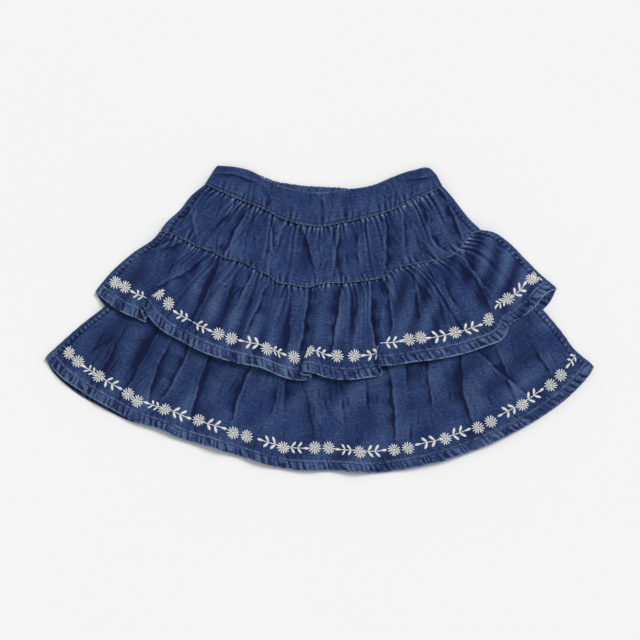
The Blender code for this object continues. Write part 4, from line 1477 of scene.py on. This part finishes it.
class SKIRT_OT_tiers(bpy.types.Operator):
    """Lay the two gathered tiers of the front, the lower one first"""

    bl_idname = "skirt.tiers"
    bl_label = "Front tiers"

    def execute(self, context):
        props = context.scene.skirt_cloth
        hem = props.hem / MM
        # hem, sides and creases, how far the middle swells and the hem is raised, the depth,
        # the share of it that is hidden, and the number of small dents
        tiers = (
            ("lower_tier_front", LOWER_HEM_FRONT, LOWER_LEFT, LOWER_RIGHT,
             LOWER_FRONT_CREASES, 1.8, 0.0, LOWER_TIER_DEPTH, 0.46, 330),
            ("upper_ruffle_front", UPPER_HEM_FRONT, UPPER_LEFT, UPPER_RIGHT,
             UPPER_FRONT_CREASES, 3.4, 2.8, FRONT_RUFFLE_DEPTH, 0.0, 230),
        )
        below = [LAID["upper_ruffle_back"], LAID["lower_tier_back"], LAID["yoke_back"]]
        for tier, row in enumerate(tiers):
            name, edge, left, right, creases, puff, raised, length, hidden, dents = row
            across, down, plan, turned = tier_grid(edge, left, right, FRONT_TIER_GRID,
                                                   length, hidden, hem)
            away = below_top(down, length, across)
            share = ease(down, *HEM_RULES)[:, None]
            # it swells from the seam down, and the hem's own heights take over lower down
            swell = 0.3 + 0.7 * ease(down, 0.0, 0.22)
            lift = puff * side_fade(across) * swell[:, None] * (1 - share)
            lift = lift + (curve(edge)(across)[:, 2] + raised * side_fade(across)) * share
            detail = crease_height(plan, creases) * (1 - ease(down, *CREASES_END))[:, None]
            detail += seam_gathers(plan, across, away, seed=41 + tier, pitch=5.2, depth=1.3,
                                   reach=9.5)
            detail += seam_gathers(plan, across, away, seed=43 + tier, pitch=15.0, depth=1.1,
                                   reach=38.0)
            detail += slow_waves(plan, seed=45 + tier, size=32.0, depth=0.85)
            detail += small_creases(plan, seed=47 + tier, count=dents, depth=0.4)
            felled = felled_sides(plan, across, away, seed=55 + tier)
            detail += felled
            detail += hem_ripple(across, length - away, row_length(edge), hem,
                                 seed=49 + tier)
            detail *= side_fade(across, TIER_END)
            wear = hem_wear(down, length, hem, detail) + 0.5 * ease(felled, 0.04, 0.22)
            wear += gather_wear(detail, away)
            thick = edge_thickness(down, length, props.layer / MM, props.double / MM, turned)
            below.append(lay(name, plan, lift, detail, across, down, thick, wear,
                             seam_pull(away, TIER_PULL), below))
        return {"FINISHED"}


class SKIRT_OT_yoke(bpy.types.Operator):
    """Lay the front yoke over the gathered tops of the tiers"""

    bl_idname = "skirt.yoke"
    bl_label = "Front yoke"

    def execute(self, context):
        length = FRONT_YOKE_DEPTH
        across, down = even_grid(length, FRONT_YOKE_GRID)
        plan = yoke_plan(across, down)
        away = below_top(down, length, across)
        # it swells from the waist seam down, and is drawn in again at its lower seam
        swell = 0.2 + 0.8 * ease(down, 0.0, 0.35) - 0.75 * ease(down, 0.72, 1.0)
        lift = 3.0 * side_fade(across) * swell[:, None]
        detail = crease_height(plan, YOKE_FRONT_CREASES)
        detail *= (1 - 0.6 * ease(down, 0.85, 1.0))[:, None]
        detail += seam_gathers(plan, across, away, seed=61, pitch=4.9, depth=1.3, reach=8.0)
        detail += seam_gathers(plan, across, away, seed=62, pitch=13.0, depth=1.0, reach=30.0)
        detail += seam_gathers(plan, across, length - away, seed=63, pitch=4.6, depth=1.0,
                               reach=5.0)
        detail += slow_waves(plan, seed=64, size=36.0, depth=0.5)
        detail += small_creases(plan, seed=65, count=170, depth=0.5)
        detail += felled_sides(plan, across, away, seed=66)
        detail += stitch_grooves(length - away, YOKE_STITCHES)
        detail *= side_fade(across, YOKE_END)
        wear = 0.6 * edge_wear(down, length, (1.0,))[:, None] * np.ones(len(across))
        wear += gather_wear(detail, away)
        below = [LAID[name] for name in ("yoke_back", "waistband_back", "lower_tier_back",
                                         "lower_tier_front", "upper_ruffle_front")]
        thick = edge_thickness(down, length, context.scene.skirt_cloth.layer / MM)
        lay("yoke_front", plan, lift, detail, across, down, thick, wear,
            seam_pull(away, YOKE_PULL), below)
        return {"FINISHED"}


class SKIRT_OT_band(bpy.types.Operator):
    """Lay the plain front waistband over the yoke's gathered top"""

    bl_idname = "skirt.band"
    bl_label = "Front waistband"

    def execute(self, context):
        length = FRONT_BAND_DEPTH
        across, down = even_grid(length, FRONT_BAND_GRID)
        plan = band_plan(BAND_TOP_FRONT, across, down)
        away = below_top(down, length, across)
        lift = 0.9 * side_fade(across) * np.sin(np.pi * np.clip(down, 0.02, 0.98))[:, None]
        detail = crease_height(plan, BAND_FRONT_CREASES)
        detail += seam_gathers(plan, across, length - away, seed=71, pitch=3.8, depth=1.3,
                               reach=7.0)
        detail += slow_waves(plan, seed=72, size=30.0, depth=0.35)
        detail += small_creases(plan, seed=73, count=80, depth=0.4)
        detail += stitch_grooves(length - away, BAND_STITCHES + BAND_STITCHES[1:])
        detail *= side_fade(across, BAND_END)
        wear = 0.6 * edge_wear(down, length, (0.0, 1.0))[:, None] * np.ones(len(across))
        below = [LAID["waistband_back"], LAID["yoke_back"], LAID["yoke_front"]]
        thick = edge_thickness(down, length, context.scene.skirt_cloth.double / MM)
        lay("waistband_front", plan, lift, detail, across, down, thick, wear,
            seam_pull(length - away, BAND_PULL_REACH), below)
        return {"FINISHED"}


class SKIRT_OT_welts(bpy.types.Operator):
    """Join front and back along both sides with a narrow rolled seam"""

    bl_idname = "skirt.welts"
    bl_label = "Side seams"

    def execute(self, context):
        material = chambray(context.scene.skirt_cloth)
        around = np.linspace(0, 2 * np.pi, WELT_AROUND, endpoint=False)
        for level in ("waistband", "yoke", "upper_ruffle", "lower_tier"):
            front, back = LAID[level + "_front"], LAID[level + "_back"]
            for column, side in ((0, "left"), (-1, "right")):
                t = np.linspace(0.0, 1.0, WELT_RINGS)
                ends = [np.stack([np.interp(t, cloth.down, edge[:, column, k])
                                  for k in range(3)], axis=1)
                        for cloth, edge in ((front, front.outer), (back, back.under))]
                middle = (ends[0] + ends[1]) / 2
                tall = (ends[0][:, 2] - ends[1][:, 2]) / 2 + WELT_PROUD
                run = np.gradient(middle[:, :2], axis=0)
                run /= np.linalg.norm(run, axis=1, keepdims=True)
                taper = np.sqrt(np.clip(1 - np.abs(2 * t - 1) ** 24, 0, 1))
                wide = WELT_HALF_WIDTH + WELT_WAVER * np.sin(2 * np.pi * WELT_WAVES * t)
                x = (wide * taper)[:, None] * np.cos(around)
                z = (tall * taper)[:, None] * np.sin(around)
                points = np.stack((middle[:, :1] - run[:, 1:] * x,
                                   middle[:, 1:2] + run[:, :1] * x,
                                   middle[:, 2:] + z), axis=-1)
                points[..., 2] = np.maximum(points[..., 2], 0.0)
                length = row_length(middle)
                mesh = tube_mesh(f"{level}_{side}_seam", points, length)
                piece = add_object(f"{level}_{side}_seam", mesh, material)
                sew(piece, level + "_front", "chambray")
        return {"FINISHED"}


def tube_mesh(name, rings, length):
    """Close a row of rings into a tube: quads between the rings and a fan at both ends. It
    carries a map of the cloth and the attributes wear and fold for its material."""
    count, around = rings.shape[:2]
    index = np.arange(count * around).reshape(count, around)
    after = np.roll(index, -1, axis=1)
    walls = np.stack((index[:-1], after[:-1], after[1:], index[1:]), axis=-1).reshape(-1, 4)
    first, last = count * around, count * around + 1
    points = np.concatenate((rings.reshape(-1, 3), rings[:1].mean(axis=1),
                             rings[-1:].mean(axis=1))) * MM
    faces = walls.tolist()
    faces += [(first, b, a) for a, b in zip(index[0], after[0])]
    faces += [(last, a, b) for a, b in zip(index[-1], after[-1])]
    mesh = bpy.data.meshes.new(name)
    mesh.from_pydata(points.tolist(), [], faces)
    chart = np.stack((np.repeat(np.linspace(0, length, count), around),
                      np.tile(np.arange(around) * WELT_FACET, count)), axis=1) * MM
    chart = np.concatenate((chart, chart[:1], chart[-1:]))
    corners = np.empty(len(mesh.loops), dtype=int)
    mesh.loops.foreach_get("vertex_index", corners)
    mesh.uv_layers.new(name="cloth").data.foreach_set("uv", chart[corners].ravel())
    wear = mesh.attributes.new("wear", "FLOAT", "POINT")
    wear.data.foreach_set("value", np.full(len(points), WELT_WEAR))
    mesh.attributes.new("fold", "FLOAT", "POINT")
    return mesh


class SKIRT_OT_topstitching(bpy.types.Operator):
    """Sew the rows of topstitching: two at the waist seam, one at the yoke's and each hem's"""

    bl_idname = "skirt.topstitching"
    bl_label = "Topstitching"

    def execute(self, context):
        props = context.scene.skirt_thread
        hem = context.scene.skirt_cloth.hem / MM
        light = tuple(props.sewing)
        # groove colour: painted shade between the strands
        groove = tuple(0.35 * part for part in light)
        material = thread_material("indigo_sewing_thread", light, groove, strands=9000.0,
                                   roughness=0.6)
        hem_stitches = (hem - HEM_STITCH,)
        lines = (
            ("waistband_front", BAND_STITCHES), ("waistband_back", BAND_STITCHES),
            ("yoke_front", YOKE_STITCHES), ("yoke_back", YOKE_STITCHES),
            ("upper_ruffle_front", hem_stitches), ("upper_ruffle_back", hem_stitches),
            ("lower_tier_front", hem_stitches), ("lower_tier_back", hem_stitches),
        )
        for seed, (panel, heights) in enumerate(lines):
            face = -1 if panel.endswith("back") else 1
            parts = []
            for over_hem in heights:
                along, _, place = border_line(LAID[panel], over_hem)
                parts.append((stitch_rows(along[-1], props, seed), place))
            piece = thread_mesh(panel + "_topstitch", parts, material, face)
            sew(piece, panel, "sewing_thread")
        return {"FINISHED"}


class SKIRT_OT_embroidery(bpy.types.Operator):
    """Embroider the running border of daisies, leaves and buds above each hem"""

    bl_idname = "skirt.embroidery"
    bl_label = "Embroidered borders"

    def execute(self, context):
        props = context.scene.skirt_thread
        light = tuple(props.floss)
        # groove colour: painted shade between the strands
        groove = tuple(0.55 * part for part in light)
        material = thread_material("white_embroidery_floss", light, groove,
                                   strands=14000.0, roughness=0.5)
        borders = (
            ("upper_ruffle_front", UPPER_DAISIES, UPPER_SPRIGS),
            ("lower_tier_front", LOWER_DAISIES, LOWER_SPRIGS),
            ("upper_ruffle_back", None, None),
            ("lower_tier_back", None, None),
        )
        for seed, (panel, daisies, sprigs) in enumerate(borders):
            rng = np.random.default_rng(90 + seed)
            along, line, place = border_line(LAID[panel], props.border / MM)
            if daisies is None:
                singles = np.arange(BORDER_STARTS, along[-1] - BORDER_STARTS, BORDER_REPEAT)
                flowers = [(at + part, 0.0) for at in singles for part in (0.0, *PAIR_AT)]
                twigs = [(at + way * BUD_AT, -way * BUD_AT)
                         for at in singles for way in (1, -1)]
            else:
                flowers = [nearest(line, along, spot) for spot in daisies]
                twigs = [(nearest(line, along, spot[:2])[0], spot[2]) for spot in sprigs]
            rows = [daisy_rows(a, b, props, rng) for a, b in flowers]
            rows += [sprig_rows(bud, reach, props, rng) for bud, reach in twigs]
            rows = np.concatenate(rows)
            ends = rows[:, 0] + rows[:, 3] * np.cos(rows[:, 2])
            low, high = BORDER_STOPS, along[-1] - BORDER_STOPS
            inside = (rows[:, 0] > low) & (rows[:, 0] < high) & (ends > low) & (ends < high)
            face = -1 if panel.endswith("back") else 1
            piece = thread_mesh(panel + "_embroidery", [(rows[inside], place)], material, face)
            sew(piece, panel, "embroidery_thread")
        return {"FINISHED"}


def nearest(line, along, spot):
    """Place along a border of the point of its line nearest to a spot, and how far over the
    line the spot lies, within bounds."""
    apart = line[:, :2] - np.array(spot)
    at = np.hypot(*apart.T).argmin()
    return along[at], float(np.clip(-apart[at, 1], -MOST_OVER, MOST_OVER))


# the stage, in metres and degrees
FLOOR_HALF = 4.0
FLOOR_LINES = 9
FLOOR_LEVEL = -0.0001
FLOOR_GRAIN = 0.992         # share of the floor's colour that its grain goes down to
CLEAR_RAY = 0.02            # the floor lets shorter rays through, to the skirt's underside
SUN_WIDTH = 24.0
SUN_TURN = (-26.0, 30.0, 0.0)
SENSOR = 36.0               # millimetres
EYE_AT = (0.0005, -0.0008)
EYE_FOCUS = 0.004           # height at which the view is as wide as it says


class SKIRT_OT_stage(bpy.types.Operator):
    """Set up the pale floor, the soft light and the camera straight above"""

    bl_idname = "skirt.stage"
    bl_label = "Stage"

    def execute(self, context):
        props = context.scene.skirt_stage
        mesh = bpy.data.meshes.new("pale_floor")
        side = np.linspace(-FLOOR_HALF, FLOOR_HALF, FLOOR_LINES)
        x, y = np.meshgrid(side, side)
        points = np.stack((x, y, np.full_like(x, FLOOR_LEVEL)), axis=-1).reshape(-1, 3)
        index = np.arange(FLOOR_LINES**2).reshape(FLOOR_LINES, FLOOR_LINES)
        faces = np.stack((index[:-1, :-1], index[:-1, 1:], index[1:, 1:], index[1:, :-1]),
                         axis=-1).reshape(-1, 4)
        mesh.from_pydata(points.tolist(), [], faces.tolist())
        paper = bpy.data.materials.new("pale_paper")
        paper.use_nodes = True
        tree = paper.node_tree
        shader = tree.nodes["Principled BSDF"]
        place = new_node(tree, "ShaderNodeTexCoord").outputs["Object"]
        grain = new_node(tree, "ShaderNodeTexNoise", {"Vector": place, "Scale": 3.0,
                                                      "Detail": 2.0}).outputs["Fac"]
        darker = tuple(FLOOR_GRAIN * part for part in props.floor)
        tint = new_node(tree, "ShaderNodeMix", {0: grain, 6: (*props.floor, 1.0),
                                                7: (*darker, 1.0)}, data_type="RGBA")
        tree.links.new(tint.outputs[2], shader.inputs["Base Color"])
        shader.inputs["Roughness"].default_value = 1.0
        shader.inputs["Specular IOR Level"].default_value = 0.0
        back = new_node(tree, "ShaderNodeNewGeometry").outputs["Backfacing"]
        near = new_node(tree, "ShaderNodeLightPath").outputs["Ray Length"]
        near = math_node(tree, "LESS_THAN", near, CLEAR_RAY)
        back = math_node(tree, "MAXIMUM", back, near)
        clear = new_node(tree, "ShaderNodeBsdfTransparent").outputs[0]
        seen = new_node(tree, "ShaderNodeMixShader", {0: back, 1: shader.outputs[0], 2: clear})
        tree.links.new(seen.outputs[0], tree.nodes["Material Output"].inputs["Surface"])
        mesh.materials.append(paper)
        floor = bpy.data.objects.new("pale_floor", mesh)
        context.scene.collection.objects.link(floor)
        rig.stage(floor)

        world = bpy.data.worlds.new("studio")
        world.use_nodes = True
        sky = world.node_tree.nodes["Background"]
        sky.inputs["Color"].default_value = (1.0, 1.0, 1.0, 1.0)
        sky.inputs["Strength"].default_value = props.sky
        context.scene.world = world

        light = bpy.data.lights.new("window", "SUN")
        light.energy = props.sun
        light.angle = np.radians(SUN_WIDTH)
        lamp = bpy.data.objects.new("window", light)
        lamp.rotation_euler = np.radians(SUN_TURN)
        context.scene.collection.objects.link(lamp)

        camera = bpy.data.cameras.new("camera")
        camera.lens = props.lens
        camera.sensor_width = SENSOR
        eye = bpy.data.objects.new("camera", camera)
        eye.location = (*EYE_AT, props.span * props.lens / SENSOR + EYE_FOCUS)
        context.scene.collection.objects.link(eye)
        context.scene.camera = eye
        context.scene.view_settings.view_transform = "Standard"
        return {"FINISHED"}


class SKIRT_PT_panel(bpy.types.Panel):
    """Settings and steps of the skirt"""

    bl_idname = "SKIRT_PT_panel"
    bl_label = "Tiered skirt"
    bl_space_type = "VIEW_3D"
    bl_region_type = "UI"
    bl_category = "Skirt"

    def draw(self, context):
        layout = self.layout
        for group in (context.scene.skirt_cloth, context.scene.skirt_thread,
                      context.scene.skirt_stage):
            box = layout.box()
            for name in group.__annotations__:
                box.prop(group, name)
        for step in STEPS:
            layout.operator(step.bl_idname)


STEPS = (SKIRT_OT_back, SKIRT_OT_tiers, SKIRT_OT_yoke, SKIRT_OT_band, SKIRT_OT_welts,
         SKIRT_OT_topstitching, SKIRT_OT_embroidery, SKIRT_OT_stage)
CLASSES = (SkirtClothSettings, SkirtThreadSettings, SkirtStageSettings, *STEPS,
           SKIRT_PT_panel)


def register():
    for part in CLASSES:
        bpy.utils.register_class(part)
    scene = bpy.types.Scene
    scene.skirt_cloth = bpy.props.PointerProperty(type=SkirtClothSettings)
    scene.skirt_thread = bpy.props.PointerProperty(type=SkirtThreadSettings)
    scene.skirt_stage = bpy.props.PointerProperty(type=SkirtStageSettings)


def unregister():
    del bpy.types.Scene.skirt_stage
    del bpy.types.Scene.skirt_thread
    del bpy.types.Scene.skirt_cloth
    for part in reversed(CLASSES):
        bpy.utils.unregister_class(part)


def main():
    register()
    bpy.ops.skirt.stage()
    bpy.ops.skirt.back()
    bpy.ops.skirt.tiers()
    bpy.ops.skirt.yoke()
    bpy.ops.skirt.band()
    bpy.ops.skirt.welts()
    bpy.ops.skirt.topstitching()
    bpy.ops.skirt.embroidery()
    for cloth in LAID.values():
        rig.sheet(**cloth.sheet)
    with open("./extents.json", "w") as out:
        json.dump({"cad": [[float(v) for v in corner] for corner in CAD_BOX],
                   "visual": [[float(v) for v in corner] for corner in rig.bounds()]}, out)


if __name__ == "__main__":
    main()
